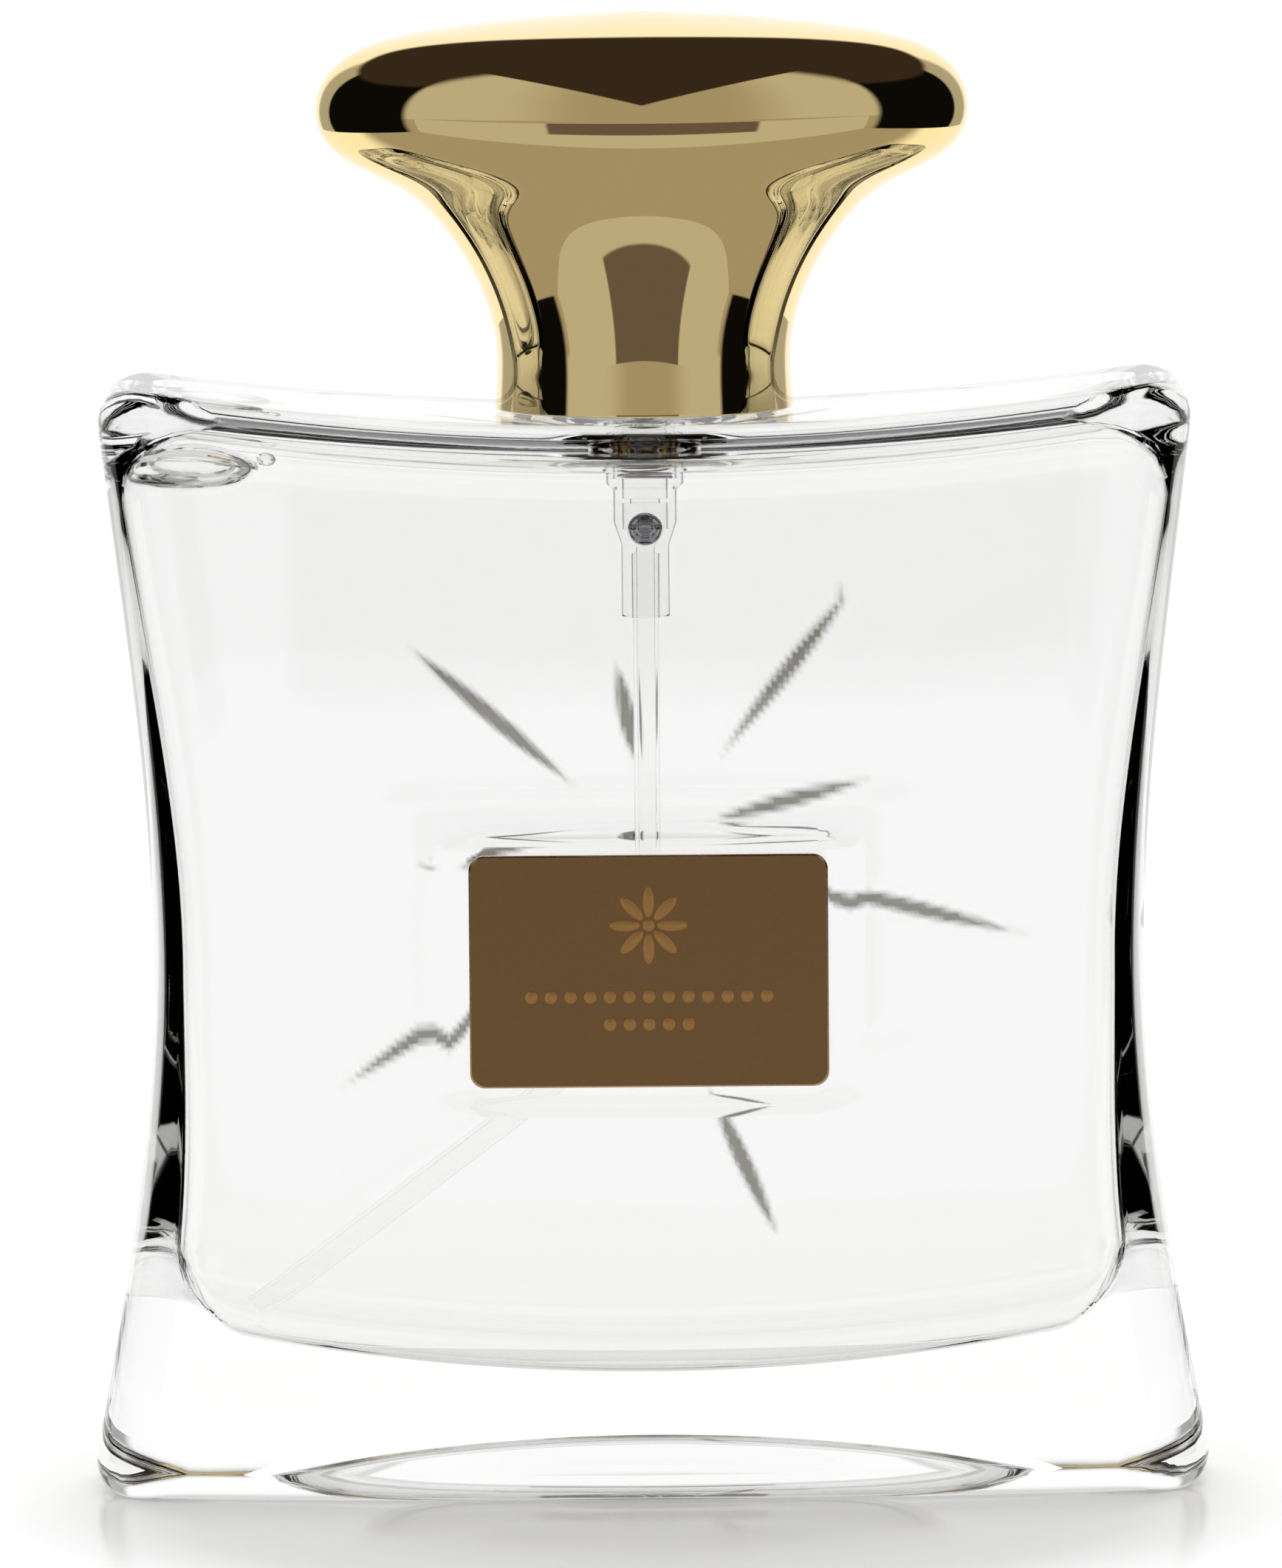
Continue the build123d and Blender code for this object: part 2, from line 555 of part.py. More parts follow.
bore = BARREL_BORE / 2
pocket = SPRING_POCKET_BORE / 2
chamber = BALL_CHAMBER_BORE / 2
seat_slope = (chamber - INLET_BORE / 2) / SEAT_CONE_HEIGHT
seat_reach = BALL_DIAMETER / 2 * sqrt(1 + seat_slope**2)
ball_height = CONE_FOOT + (seat_reach - INLET_BORE / 2) / seat_slope + BALL_PLAY
stop_reach = sqrt((BALL_DIAMETER / 2) ** 2 - (BALL_STOP_BORE / 2) ** 2)
stop_foot = ball_height + BALL_LIFT + stop_reach + BALL_PLAY
with BuildPart() as pump_housing:
    with BuildSketch(Plane.XZ):
        with BuildLine():
            Polyline(
                (TUBE_DIAMETER / 2, SPIGOT_END),
                (SPIGOT_DIAMETER / 2, SPIGOT_END),
                (SPIGOT_DIAMETER / 2, CONE_FOOT + 0.2),
                (VALVE_BODY_DIAMETER / 2, CHAMBER_FLOOR + 0.6),
                (VALVE_BODY_DIAMETER / 2, SPRING_SEAT - 1.4),
                (BARREL_STEP_DIAMETER / 2, SPRING_SEAT - 0.6),
                (BARREL_STEP_DIAMETER / 2, SPRING_SEAT + 0.8),
                (BARREL_DIAMETER / 2, BORE_BOTTOM - 0.6),
                (BARREL_DIAMETER / 2, FLANGE_BOTTOM),
                (FLANGE_DIAMETER / 2, FLANGE_BOTTOM),
                (FLANGE_DIAMETER / 2, FLANGE_TOP),
                (bore, FLANGE_TOP),
                (bore, BORE_BOTTOM),
                (pocket, BORE_BOTTOM - 0.8),
                (pocket, SPRING_SEAT),
                (chamber, SPRING_SEAT),
                (chamber, stop_foot + BALL_STOP_HEIGHT),
                (BALL_STOP_BORE / 2, stop_foot + BALL_STOP_HEIGHT),
                (BALL_STOP_BORE / 2, stop_foot),
                (chamber, stop_foot),
                (chamber, CHAMBER_FLOOR),
                (INLET_BORE / 2, CONE_FOOT),
                (INLET_BORE / 2, TUBE_STOP),
                (TUBE_DIAMETER / 2, TUBE_STOP),
                close=True,
            )
        make_face()
    revolve(axis=Axis.Z)
pump_housing.part.label = "pump_housing"
export_step(pump_housing.part, "parts/pump_housing.step")

with BuildPart(Plane.XY.offset(ball_height)) as inlet_ball:
    Sphere(BALL_DIAMETER / 2)
inlet_ball.part.label = "inlet_ball"
export_step(inlet_ball.part, "parts/inlet_ball.step")

with BuildPart() as turret:
    with BuildSketch(Plane.XZ):
        with BuildLine():
            Polyline(
                (STEM_DIAMETER / 2 + 0.15, FLANGE_TOP + STACK_GAP),
                (SLEEVE_BORE / 2, FLANGE_TOP + STACK_GAP),
                (SLEEVE_BORE / 2, FLANGE_TOP - SLEEVE_LENGTH),
                (bore - SLIDE_GAP, FLANGE_TOP - SLEEVE_LENGTH),
                (bore - SLIDE_GAP, FLANGE_TOP + STACK_GAP),
                (TURRET_DIAMETER / 2, FLANGE_TOP + STACK_GAP),
                (TURRET_DIAMETER / 2, TURRET_TOP - STACK_GAP),
                (TURRET_BOSS_DIAMETER / 2, TURRET_TOP - STACK_GAP),
                (TURRET_BOSS_DIAMETER / 2, TURRET_TOP + TURRET_BOSS_HEIGHT),
                (STEM_DIAMETER / 2 + 0.15, TURRET_TOP + TURRET_BOSS_HEIGHT),
                close=True,
            )
        make_face()
    revolve(axis=Axis.Z)
turret.part.label = "turret"
export_step(turret.part, "parts/turret.step")

with BuildPart() as piston:
    with BuildSketch(Plane.XZ):
        with BuildLine():
            Polyline(
                (pocket, PISTON_BOTTOM),
                (bore - SLIDE_GAP, PISTON_BOTTOM),
                (bore - SLIDE_GAP, PISTON_BOTTOM + 0.5),
                (bore - 0.35, PISTON_BOTTOM + 0.9),
                (bore - 0.35, PISTON_TOP - 0.9),
                (bore - SLIDE_GAP, PISTON_TOP - 0.5),
                (bore - SLIDE_GAP, PISTON_TOP),
                (STEM_DIAMETER / 2 + SLIDE_GAP, PISTON_TOP),
                (STEM_DIAMETER / 2 + SLIDE_GAP, PISTON_TOP - PISTON_CROWN),
                (pocket, PISTON_TOP - PISTON_CROWN),
                close=True,
            )
        make_face()
    revolve(axis=Axis.Z)
piston.part.label = "piston"
export_step(piston.part, "parts/piston.step")

port_height = PISTON_TOP - PISTON_CROWN / 2
with BuildPart() as stem:
    with BuildSketch(Plane.XZ):
        with BuildLine():
            Polyline(
                (0, FLANGE_LEVEL - STEM_NOSE),
                (STEM_NOSE_DIAMETER / 2, FLANGE_LEVEL - STEM_NOSE),
                (STEM_NOSE_DIAMETER / 2, FLANGE_LEVEL),
                (STEM_FLANGE_DIAMETER / 2, FLANGE_LEVEL),
                (STEM_FLANGE_DIAMETER / 2, FLANGE_LEVEL + STEM_FLANGE),
                (STEM_DIAMETER / 2, FLANGE_LEVEL + STEM_FLANGE),
                (STEM_DIAMETER / 2, SHOULDER_TOP - STEM_SHOULDER),
                (STEM_SHOULDER_DIAMETER / 2, SHOULDER_TOP - STEM_SHOULDER),
                (STEM_SHOULDER_DIAMETER / 2, SHOULDER_TOP),
                (STEM_DIAMETER / 2, SHOULDER_TOP),
                (STEM_DIAMETER / 2, SOCKET_TOP - 0.1),
                (STEM_BORE / 2, SOCKET_TOP - 0.1),
                (STEM_BORE / 2, port_height - STEM_PORT / 2),
                (0, port_height - STEM_PORT / 2),
                close=True,
            )
        make_face()
    revolve(axis=Axis.Z)
    with BuildSketch(Plane.YZ.offset(-STEM_DIAMETER)):
        with Locations((0, port_height)):
            Circle(STEM_PORT / 2)
    extrude(amount=2 * STEM_DIAMETER, mode=Mode.SUBTRACT)
stem.part.label = "stem"
export_step(stem.part, "parts/stem.step")

spring_top = FLANGE_LEVEL - STACK_GAP
with BuildPart() as main_spring:
    add(coil(WIRE, COIL_DIAMETER, COILS, SPRING_SEAT + STACK_GAP, spring_top))
main_spring.part.label = "main_spring"
export_step(main_spring.part, "parts/main_spring.step")

valve_spring_top = SHOULDER_TOP - STEM_SHOULDER - STACK_GAP
with BuildPart() as valve_spring:
    add(coil(VALVE_WIRE, VALVE_COIL_DIAMETER, VALVE_COILS, PISTON_TOP + STACK_GAP, valve_spring_top))
valve_spring.part.label = "valve_spring"
export_step(valve_spring.part, "parts/valve_spring.step")


# ---------------------------------------------------------------- ferrule and collar
ferrule_inside = bead_radius + FIT_GAP
ferrule_outside = ferrule_inside + FERRULE_WALL
with BuildPart() as crimp_ferrule:
    with BuildSketch(Plane.XZ):
        with BuildLine():
            Polyline(
                (TURRET_BOSS_DIAMETER / 2 + FIT_GAP, TURRET_TOP),
                (ferrule_inside, TURRET_TOP),
                (ferrule_inside, bead_foot - 0.1),
                (ferrule_inside - FERRULE_TUCK, bead_foot - 0.7),
                (ferrule_inside - FERRULE_TUCK, bead_foot - 1.1),
                (ferrule_outside, bead_foot - 0.3),
                (ferrule_outside, FERRULE_TOP - 0.3),
                (ferrule_outside - 0.3, FERRULE_TOP),
                (TURRET_BOSS_DIAMETER / 2 + FIT_GAP, FERRULE_TOP),
                close=True,
            )
        make_face()
    revolve(axis=Axis.Z)
crimp_ferrule.part.label = "crimp_ferrule"
export_step(crimp_ferrule.part, "parts/crimp_ferrule.step")

with BuildPart() as collar:
    with BuildSketch(Plane.XZ):
        with BuildLine():
            Polyline(
                (ferrule_outside + FIT_GAP, COLLAR_BOTTOM),
                (COLLAR_DIAMETER / 2, COLLAR_BOTTOM),
                (COLLAR_DIAMETER / 2, COLLAR_TOP - COLLAR_CHAMFER),
                (COLLAR_DIAMETER / 2 - COLLAR_CHAMFER, COLLAR_TOP),
                (COLLAR_MOUTH / 2 + COLLAR_CHAMFER, COLLAR_TOP),
                (COLLAR_MOUTH / 2, COLLAR_TOP - COLLAR_CHAMFER),
                (COLLAR_MOUTH / 2, FERRULE_TOP + STACK_GAP),
                (ferrule_outside + FIT_GAP, FERRULE_TOP + STACK_GAP),
                close=True,
            )
        make_face()
    revolve(axis=Axis.Z)
collar.part.label = "collar"
export_step(collar.part, "parts/collar.step")


# ---------------------------------------------------------------- actuator
core_radius = ACTUATOR_DIAMETER / 2 - ACTUATOR_SHELL_WALL - STACK_GAP
core_top = ACTUATOR_TOP - ACTUATOR_SHELL_WALL - STACK_GAP
socket_radius = STEM_DIAMETER / 2 + 0.03
boss_radius = SOCKET_BOSS_DIAMETER / 2
nozzle_front = -ACTUATOR_DIAMETER / 2 + 0.1
nozzle_back = nozzle_front + NOZZLE_LENGTH
with BuildPart() as actuator:
    with BuildSketch(Plane.XZ):
        with BuildLine():
            Polyline(
                (socket_radius, SOCKET_BOTTOM),
                (boss_radius, SOCKET_BOTTOM),
                (boss_radius, SOCKET_BOTTOM + 1.6),
                (ACTUATOR_SKIRT_BORE / 2, SOCKET_BOTTOM + 1.6),
                (ACTUATOR_SKIRT_BORE / 2, ACTUATOR_BOTTOM),
                (core_radius, ACTUATOR_BOTTOM),
                (core_radius, core_top - ACTUATOR_ROUND),
                (core_radius - ACTUATOR_ROUND, core_top),
                (0, core_top),
                (0, NOZZLE_LEVEL),
                (CHANNEL_BORE / 2, NOZZLE_LEVEL),
                (CHANNEL_BORE / 2, SOCKET_TOP),
                (socket_radius, SOCKET_TOP),
                close=True,
            )
        make_face()
    revolve(axis=Axis.Z)
    with BuildSketch(Plane.XZ):
        with Locations((0, NOZZLE_LEVEL)):
            Circle(CHANNEL_BORE / 2)
    extrude(amount=ACTUATOR_DIAMETER, mode=Mode.SUBTRACT)
    with BuildSketch(Plane.XZ.offset(-nozzle_back - STACK_GAP)):
        with Locations((0, NOZZLE_LEVEL)):
            Circle(NOZZLE_DIAMETER / 2 + STACK_GAP)
    extrude(amount=ACTUATOR_DIAMETER, mode=Mode.SUBTRACT)
actuator.part.label = "actuator"
export_step(actuator.part, "parts/actuator.step")

shell_radius = ACTUATOR_DIAMETER / 2
with BuildPart() as actuator_shell:
    with BuildSketch(Plane.XZ):
        with BuildLine():
            Polyline(
                (core_radius + STACK_GAP, ACTUATOR_BOTTOM),
                (shell_radius, ACTUATOR_BOTTOM),
                (shell_radius, ACTUATOR_TOP - ACTUATOR_ROUND),
                (shell_radius - ACTUATOR_ROUND, ACTUATOR_TOP),
                (0, ACTUATOR_TOP),
                (0, core_top + STACK_GAP),
                (core_radius - ACTUATOR_ROUND, core_top + STACK_GAP),
                (core_radius + STACK_GAP, core_top - ACTUATOR_ROUND),
                close=True,
            )
        make_face()
    revolve(axis=Axis.Z)
    with BuildSketch(Plane.XZ):
        with Locations((0, NOZZLE_LEVEL)):
            Circle(NOZZLE_DIAMETER / 2 + STACK_GAP)
    extrude(amount=ACTUATOR_DIAMETER, mode=Mode.SUBTRACT)
actuator_shell.part.label = "actuator_shell"
export_step(actuator_shell.part, "parts/actuator_shell.step")

with BuildPart() as nozzle_insert:
    with BuildSketch(Plane.XZ.offset(-nozzle_back)):
        with Locations((0, NOZZLE_LEVEL)):
            Circle(NOZZLE_DIAMETER / 2)
    extrude(amount=NOZZLE_LENGTH)
    with BuildSketch(Plane.XZ.offset(-nozzle_back)):
        with Locations((0, NOZZLE_LEVEL)):
            Circle(NOZZLE_SWIRL / 2)
    extrude(amount=NOZZLE_LENGTH - 0.8, mode=Mode.SUBTRACT)
    with BuildSketch(Plane.XZ.offset(-nozzle_back)):
        with Locations((0, NOZZLE_LEVEL)):
            Circle(NOZZLE_ORIFICE / 2)
    extrude(amount=NOZZLE_LENGTH, mode=Mode.SUBTRACT)
nozzle_insert.part.label = "nozzle_insert"
export_step(nozzle_insert.part, "parts/nozzle_insert.step")


# ---------------------------------------------------------------- over-cap
cap_outside = cap_form(0, CAP_SECTIONS)
roomy_sections = [section for section in CAP_SECTIONS[3:] if section[2] > 1.5 * CAP_WALL]
cap_inside = cap_form(CAP_WALL, roomy_sections)
with BuildPart() as cap_shell:
    add(cap_outside)
    add(cap_inside, mode=Mode.SUBTRACT)
    with BuildSketch(Plane.XY.offset(CAP_RIM)):
        Circle(CAP_BORE / 2)
    extrude(amount=COLLAR_TOP - CAP_RIM + 2.0, mode=Mode.SUBTRACT)
cap_shell.part.label = "cap_shell"
export_step(cap_shell.part, "parts/cap_shell.step")

liner_outside = CAP_BORE / 2 - FIT_GAP
ledge_height = COLLAR_TOP + STACK_GAP
with BuildPart() as cap_liner:
    with BuildSketch(Plane.XZ):
        with BuildLine():
            Polyline(
                (LINER_BORE / 2, CAP_RIM + 0.3),
                (liner_outside, CAP_RIM + 0.3),
                (liner_outside, ledge_height + 1.4),
                (LINER_HEAD_DIAMETER / 2, ledge_height + 1.4),
                (LINER_HEAD_DIAMETER / 2, LINER_TOP),
                (0, LINER_TOP),
                (0, LINER_INSIDE),
                (LINER_HEAD_BORE / 2, LINER_INSIDE),
                (LINER_HEAD_BORE / 2, ledge_height),
                (LINER_BORE / 2, ledge_height),
                close=True,
            )
        make_face()
    revolve(axis=Axis.Z)
    # ribs that grip the collar
    rib_tip = COLLAR_DIAMETER / 2 + FIT_GAP
    rib_length = LINER_BORE / 2 + 0.3 - rib_tip
    with BuildSketch(Plane.XY.offset(CAP_RIM + 1.0)):
        with PolarLocations(rib_tip + rib_length / 2, LINER_RIBS):
            Rectangle(rib_length, RIB_WIDTH)
    extrude(amount=ledge_height + 0.4 - CAP_RIM - 1.0)
cap_liner.part.label = "cap_liner"
export_step(cap_liner.part, "parts/cap_liner.step")

with BuildPart() as cap_weight:
    with BuildSketch(Plane.XY.offset(LINER_TOP + STACK_GAP)):
        Ellipse(WEIGHT_LENGTH / 2, WEIGHT_WIDTH / 2)
    extrude(amount=WEIGHT_THICKNESS)
cap_weight.part.label = "cap_weight"
export_step(cap_weight.part, "parts/cap_weight.step")
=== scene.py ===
import math

import bpy
import numpy as np
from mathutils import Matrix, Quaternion, Vector


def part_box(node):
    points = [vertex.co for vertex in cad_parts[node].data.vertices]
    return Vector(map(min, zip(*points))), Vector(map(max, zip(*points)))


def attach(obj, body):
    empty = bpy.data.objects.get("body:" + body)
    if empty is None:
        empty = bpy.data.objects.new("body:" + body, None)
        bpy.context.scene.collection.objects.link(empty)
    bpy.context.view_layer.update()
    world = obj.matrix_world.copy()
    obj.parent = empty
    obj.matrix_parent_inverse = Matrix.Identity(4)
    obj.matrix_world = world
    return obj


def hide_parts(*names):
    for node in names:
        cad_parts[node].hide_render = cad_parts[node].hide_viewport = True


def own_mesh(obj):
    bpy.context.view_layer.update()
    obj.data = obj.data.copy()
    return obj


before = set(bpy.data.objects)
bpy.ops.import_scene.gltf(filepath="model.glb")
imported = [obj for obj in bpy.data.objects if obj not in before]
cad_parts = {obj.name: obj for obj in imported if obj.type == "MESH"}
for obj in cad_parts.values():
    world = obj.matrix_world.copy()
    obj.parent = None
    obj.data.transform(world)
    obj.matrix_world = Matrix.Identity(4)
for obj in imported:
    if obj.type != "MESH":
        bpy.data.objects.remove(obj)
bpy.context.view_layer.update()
MM = 0.001

# ---------------------------------------------------------------------------------- camera
# A long lens a little above the shoulder of the bottle, turned by half a degree because
# the bottle was set down slightly out of true.
CAMERA_DISTANCE = 1.6
CAMERA_RISE = math.radians(5.5)
CAMERA_TURN = math.radians(0.48)
SEEN_HEIGHT = 2124 / 15.5 * MM  # what the long side of the picture covers at the bottle
camera_data = bpy.data.cameras.new("camera")
camera = bpy.data.objects.new("camera", camera_data)
bpy.context.scene.collection.objects.link(camera)
camera_aim = Vector((-0.00055, 0.0, 0.0611))
camera_back = Vector((0.0, -math.cos(CAMERA_RISE), math.sin(CAMERA_RISE)))
camera.location = camera_aim + camera_back * CAMERA_DISTANCE
camera.rotation_mode = "QUATERNION"
camera_level = (-camera_back).to_track_quat("-Z", "Y")
camera.rotation_quaternion = Quaternion(camera_back, -CAMERA_TURN) @ camera_level
SENSOR_WIDTH = 36.0
camera_data.sensor_width = SENSOR_WIDTH
camera_data.lens = SENSOR_WIDTH * CAMERA_DISTANCE / SEEN_HEIGHT
camera_data.clip_end = 50.0
bpy.context.scene.camera = camera
bpy.context.scene.view_settings.view_transform = "Standard"
# clear pieces lie inside each other here, so light may pass through many surfaces
bpy.context.scene.cycles.max_bounces = 32
bpy.context.scene.cycles.transmission_bounces = 32
bpy.context.scene.cycles.transparent_max_bounces = 16


# ---------------------------------------------------------------------------------- studio
# A bright sweep stands behind the bottle between two grey returns, with a black card at each
# side. In front are two pale cards with a dark gap between them, under a dark ceiling. The
# world varies with direction, and its ceiling is paler for light that has come through glass.
world = bpy.data.worlds.new("studio")
bpy.context.scene.world = world
world.use_nodes = True
sky = world.node_tree
sky.nodes.clear()


def tree_math(tree, operation, *values):
    """One arithmetic step on values or sockets."""
    node = tree.nodes.new("ShaderNodeMath")
    node.operation = operation
    for socket, value in zip(node.inputs, values):
        if isinstance(value, (int, float)):
            socket.default_value = value
        else:
            tree.links.new(value, socket)
    return node.outputs[0]


def tree_step(tree, value, low, high):
    """0 below low, 1 above high, eased in between; with low above high it runs the other way."""
    node = tree.nodes.new("ShaderNodeMapRange")
    node.interpolation_type = "SMOOTHSTEP"
    tree.links.new(value, node.inputs["Value"])
    node.inputs["From Min"].default_value = min(low, high)
    node.inputs["From Max"].default_value = max(low, high)
    if low > high:
        node.inputs["To Min"].default_value, node.inputs["To Max"].default_value = 1.0, 0.0
    return node.outputs["Result"]


def tree_blend(tree, share, first, second):
    """first where share is 0, second where it is 1; each is a colour or a socket."""
    node = tree.nodes.new("ShaderNodeMix")
    node.data_type = "RGBA"
    tree.links.new(share, node.inputs[0])
    for socket, value in ((node.inputs[6], first), (node.inputs[7], second)):
        if isinstance(value, tuple):
            socket.default_value = (*value, 1.0)
        else:
            tree.links.new(value, socket)
    return node.outputs[2]


sky_direction = sky.nodes.new("ShaderNodeTexCoord")
sky_axes = sky.nodes.new("ShaderNodeSeparateXYZ")
sky.links.new(sky_direction.outputs["Generated"], sky_axes.inputs[0])
east, north, up = sky_axes.outputs
east_squared = tree_math(sky, "MULTIPLY", east, east)
north_squared = tree_math(sky, "MULTIPLY", north, north)
level = tree_math(sky, "SQRT", tree_math(sky, "ADD", east_squared, north_squared))
level = tree_math(sky, "MAXIMUM", level, 0.0001)
behind = tree_math(sky, "DIVIDE", north, level)
sideways = tree_math(sky, "DIVIDE", east, level)
climb = tree_math(sky, "DIVIDE", up, level)
SWEEP_WHITE = (1.06, 1.06, 1.06)
RETURN_GREY = (0.44, 0.44, 0.43)
BLACK_CARD = (0.004, 0.004, 0.004)
PALE_CARD = (0.53, 0.52, 0.53)
TABLE_DIM = (0.39, 0.36, 0.33)
CEILING_BROWN = (0.038, 0.027, 0.023)
LAMP_DIFFUSER = (0.72, 0.72, 0.71)
card_top = tree_math(sky, "MULTIPLY_ADD", tree_math(sky, "ABSOLUTE", sideways), 1.6, 0.22)
over_card = tree_step(sky, tree_math(sky, "SUBTRACT", climb, card_top), -0.01, 0.03)
middle = tree_math(
    sky, "MULTIPLY", tree_step(sky, sideways, -0.55, -0.15), tree_step(sky, sideways, 0.62, 0.30)
)
dim = tree_math(sky, "MAXIMUM", middle, tree_step(sky, climb, -0.06, -0.09))
front = tree_blend(sky, over_card, tree_blend(sky, dim, PALE_CARD, TABLE_DIM), CEILING_BROWN)
front_or_side = tree_blend(sky, tree_step(sky, behind, -0.50, -0.44), front, BLACK_CARD)
side_or_return = tree_blend(sky, tree_step(sky, behind, 0.52, 0.58), front_or_side, RETURN_GREY)
round_about = tree_blend(sky, tree_step(sky, behind, 0.80, 0.88), side_or_return, SWEEP_WHITE)
light_path = sky.nodes.new("ShaderNodeLightPath")
ceiling_share = tree_math(
    sky, "MULTIPLY", tree_step(sky, climb, 0.66, 0.78), tree_step(sky, north, -0.45, -0.30)
)
all_round = tree_blend(sky, ceiling_share, round_about, CEILING_BROWN)
# what shines down through the glass is paler, as from the diffuser of a lamp overhead
through_glass = tree_math(
    sky, "MULTIPLY", light_path.outputs["Is Transmission Ray"], tree_step(sky, climb, 0.25, 0.60)
)
all_round = tree_blend(sky, through_glass, all_round, LAMP_DIFFUSER)
seen_plainly = light_path.outputs["Is Camera Ray"]
sky_light = sky.nodes.new("ShaderNodeBackground")
sky.links.new(tree_blend(sky, seen_plainly, all_round, SWEEP_WHITE), sky_light.inputs["Color"])
sky_out = sky.nodes.new("ShaderNodeOutputWorld")
sky.links.new(sky_light.outputs[0], sky_out.inputs["Surface"])

# A large soft light overhead and another low behind even out the floor and throw the bottle's
# soft shadow forwards. Both stay out of the reflections.
for light_name, light_place, light_size, light_power in (
    ("overhead", (0.0, 0.15, 1.3), 1.2, 5.0), ("low_back", (0.0, 0.8, 0.45), 0.7, 7.0),
):
    light_data = bpy.data.lights.new(light_name, "AREA")
    light_data.shape = "DISK"
    light_data.size = light_size
    light_data.energy = light_power
    light = bpy.data.objects.new(light_name, light_data)
    light.location = light_place
    light.rotation_mode = "QUATERNION"
    light.rotation_quaternion = Vector(light_place).to_track_quat("Z", "Y")
    light.visible_camera = False
    light.visible_glossy = False
    light.visible_transmission = False
    bpy.context.scene.collection.objects.link(light)

# The floor is a sheet of pale acrylic, which shows a faint blurred reflection.
FLOOR_REACH = 6.0
floor_mesh = bpy.data.meshes.new("floor")
floor_signs = [(-1, -1), (1, -1), (1, 1), (-1, 1)]
floor_corners = [(x * FLOOR_REACH, y * FLOOR_REACH, 0) for x, y in floor_signs]
floor_mesh.from_pydata(floor_corners, [], [(0, 1, 2, 3)])
floor = bpy.data.objects.new("floor", floor_mesh)
bpy.context.scene.collection.objects.link(floor)
floor_finish = bpy.data.materials.new("pale_acrylic")
floor_finish.use_nodes = True
acrylic = floor_finish.node_tree
acrylic.nodes.clear()
TABLE_HALF_WIDTH = 0.30
TABLE_FRONT = -0.19
TABLE_EDGE = 1.03  # how far its edges fade out, as a share of its reach
FARTHER_BESIDE = 0.22  # how much wider the table is for light that has come through glass
SHADOW_HALF_WIDTH = 0.052  # of the oval round the bottle where the floor shows the lamps' light and shadow, past which it glows an even white
SHADOW_HALF_DEPTH = 0.070
table_place = acrylic.nodes.new("ShaderNodeNewGeometry")
table_axes = acrylic.nodes.new("ShaderNodeSeparateXYZ")
acrylic.links.new(table_place.outputs["Position"], table_axes.inputs[0])
across, deep, _ = table_axes.outputs
table_path = acrylic.nodes.new("ShaderNodeLightPath")
farther = tree_math(acrylic, "MULTIPLY", table_path.outputs["Is Transmission Ray"], FARTHER_BESIDE)
past_side = tree_math(acrylic, "SUBTRACT", tree_math(acrylic, "ABSOLUTE", across), farther)
past_side = tree_step(acrylic, past_side, TABLE_HALF_WIDTH, TABLE_HALF_WIDTH * TABLE_EDGE)
past_front = tree_step(acrylic, deep, TABLE_FRONT, TABLE_FRONT * TABLE_EDGE)
past_table = tree_math(acrylic, "MAXIMUM", past_side, past_front)
# Seen other than from the camera, the table is a glowing sheet: painted dim in front, where the backlight
# doesn't reach, and white behind. This is painted light and shade.
table_light = acrylic.nodes.new("ShaderNodeEmission")
table_painted_light = tree_blend(acrylic, tree_step(acrylic, deep, -0.04, 0.03), TABLE_DIM, SWEEP_WHITE)
acrylic.links.new(table_painted_light, table_light.inputs["Color"])
no_table = acrylic.nodes.new("ShaderNodeBsdfTransparent")
reflected_table = acrylic.nodes.new("ShaderNodeMixShader")
acrylic.links.new(past_table, reflected_table.inputs[0])
acrylic.links.new(table_light.outputs[0], reflected_table.inputs[1])
acrylic.links.new(no_table.outputs[0], reflected_table.inputs[2])
acrylic_body = acrylic.nodes.new("ShaderNodeBsdfDiffuse")
acrylic_body.inputs["Color"].default_value = (0.80, 0.80, 0.79, 1)
acrylic_gloss = acrylic.nodes.new("ShaderNodeBsdfGlossy")
acrylic_gloss.inputs["Roughness"].default_value = 0.14
acrylic_glow = acrylic.nodes.new("ShaderNodeEmission")
acrylic_glow.inputs["Strength"].default_value = 0.30
acrylic_mix = acrylic.nodes.new("ShaderNodeMixShader")
acrylic_mix.inputs[0].default_value = 0.30
acrylic_sum = acrylic.nodes.new("ShaderNodeAddShader")
acrylic_far = acrylic.nodes.new("ShaderNodeEmission")
acrylic_far.inputs["Color"].default_value = (*SWEEP_WHITE, 1)
acrylic_fade = acrylic.nodes.new("ShaderNodeMixShader")
away_x = tree_math(acrylic, "POWER", tree_math(acrylic, "DIVIDE", across, SHADOW_HALF_WIDTH), 2.0)
away_y = tree_math(acrylic, "POWER", tree_math(acrylic, "DIVIDE", deep, SHADOW_HALF_DEPTH), 2.0)
away = tree_math(acrylic, "SQRT", tree_math(acrylic, "ADD", away_x, away_y))
acrylic.links.new(tree_step(acrylic, away, 0.90, 1.35), acrylic_fade.inputs[0])
acrylic.links.new(acrylic_sum.outputs[0], acrylic_fade.inputs[1])
acrylic.links.new(acrylic_far.outputs[0], acrylic_fade.inputs[2])
acrylic_seen = acrylic.nodes.new("ShaderNodeMixShader")
acrylic_out = acrylic.nodes.new("ShaderNodeOutputMaterial")
acrylic.links.new(acrylic_body.outputs[0], acrylic_mix.inputs[1])
acrylic.links.new(acrylic_gloss.outputs[0], acrylic_mix.inputs[2])
acrylic.links.new(acrylic_mix.outputs[0], acrylic_sum.inputs[0])
acrylic.links.new(acrylic_glow.outputs[0], acrylic_sum.inputs[1])
acrylic.links.new(table_path.outputs["Is Camera Ray"], acrylic_seen.inputs[0])
acrylic.links.new(reflected_table.outputs[0], acrylic_seen.inputs[1])
acrylic.links.new(acrylic_fade.outputs[0], acrylic_seen.inputs[2])
acrylic.links.new(acrylic_seen.outputs[0], acrylic_out.inputs["Surface"])
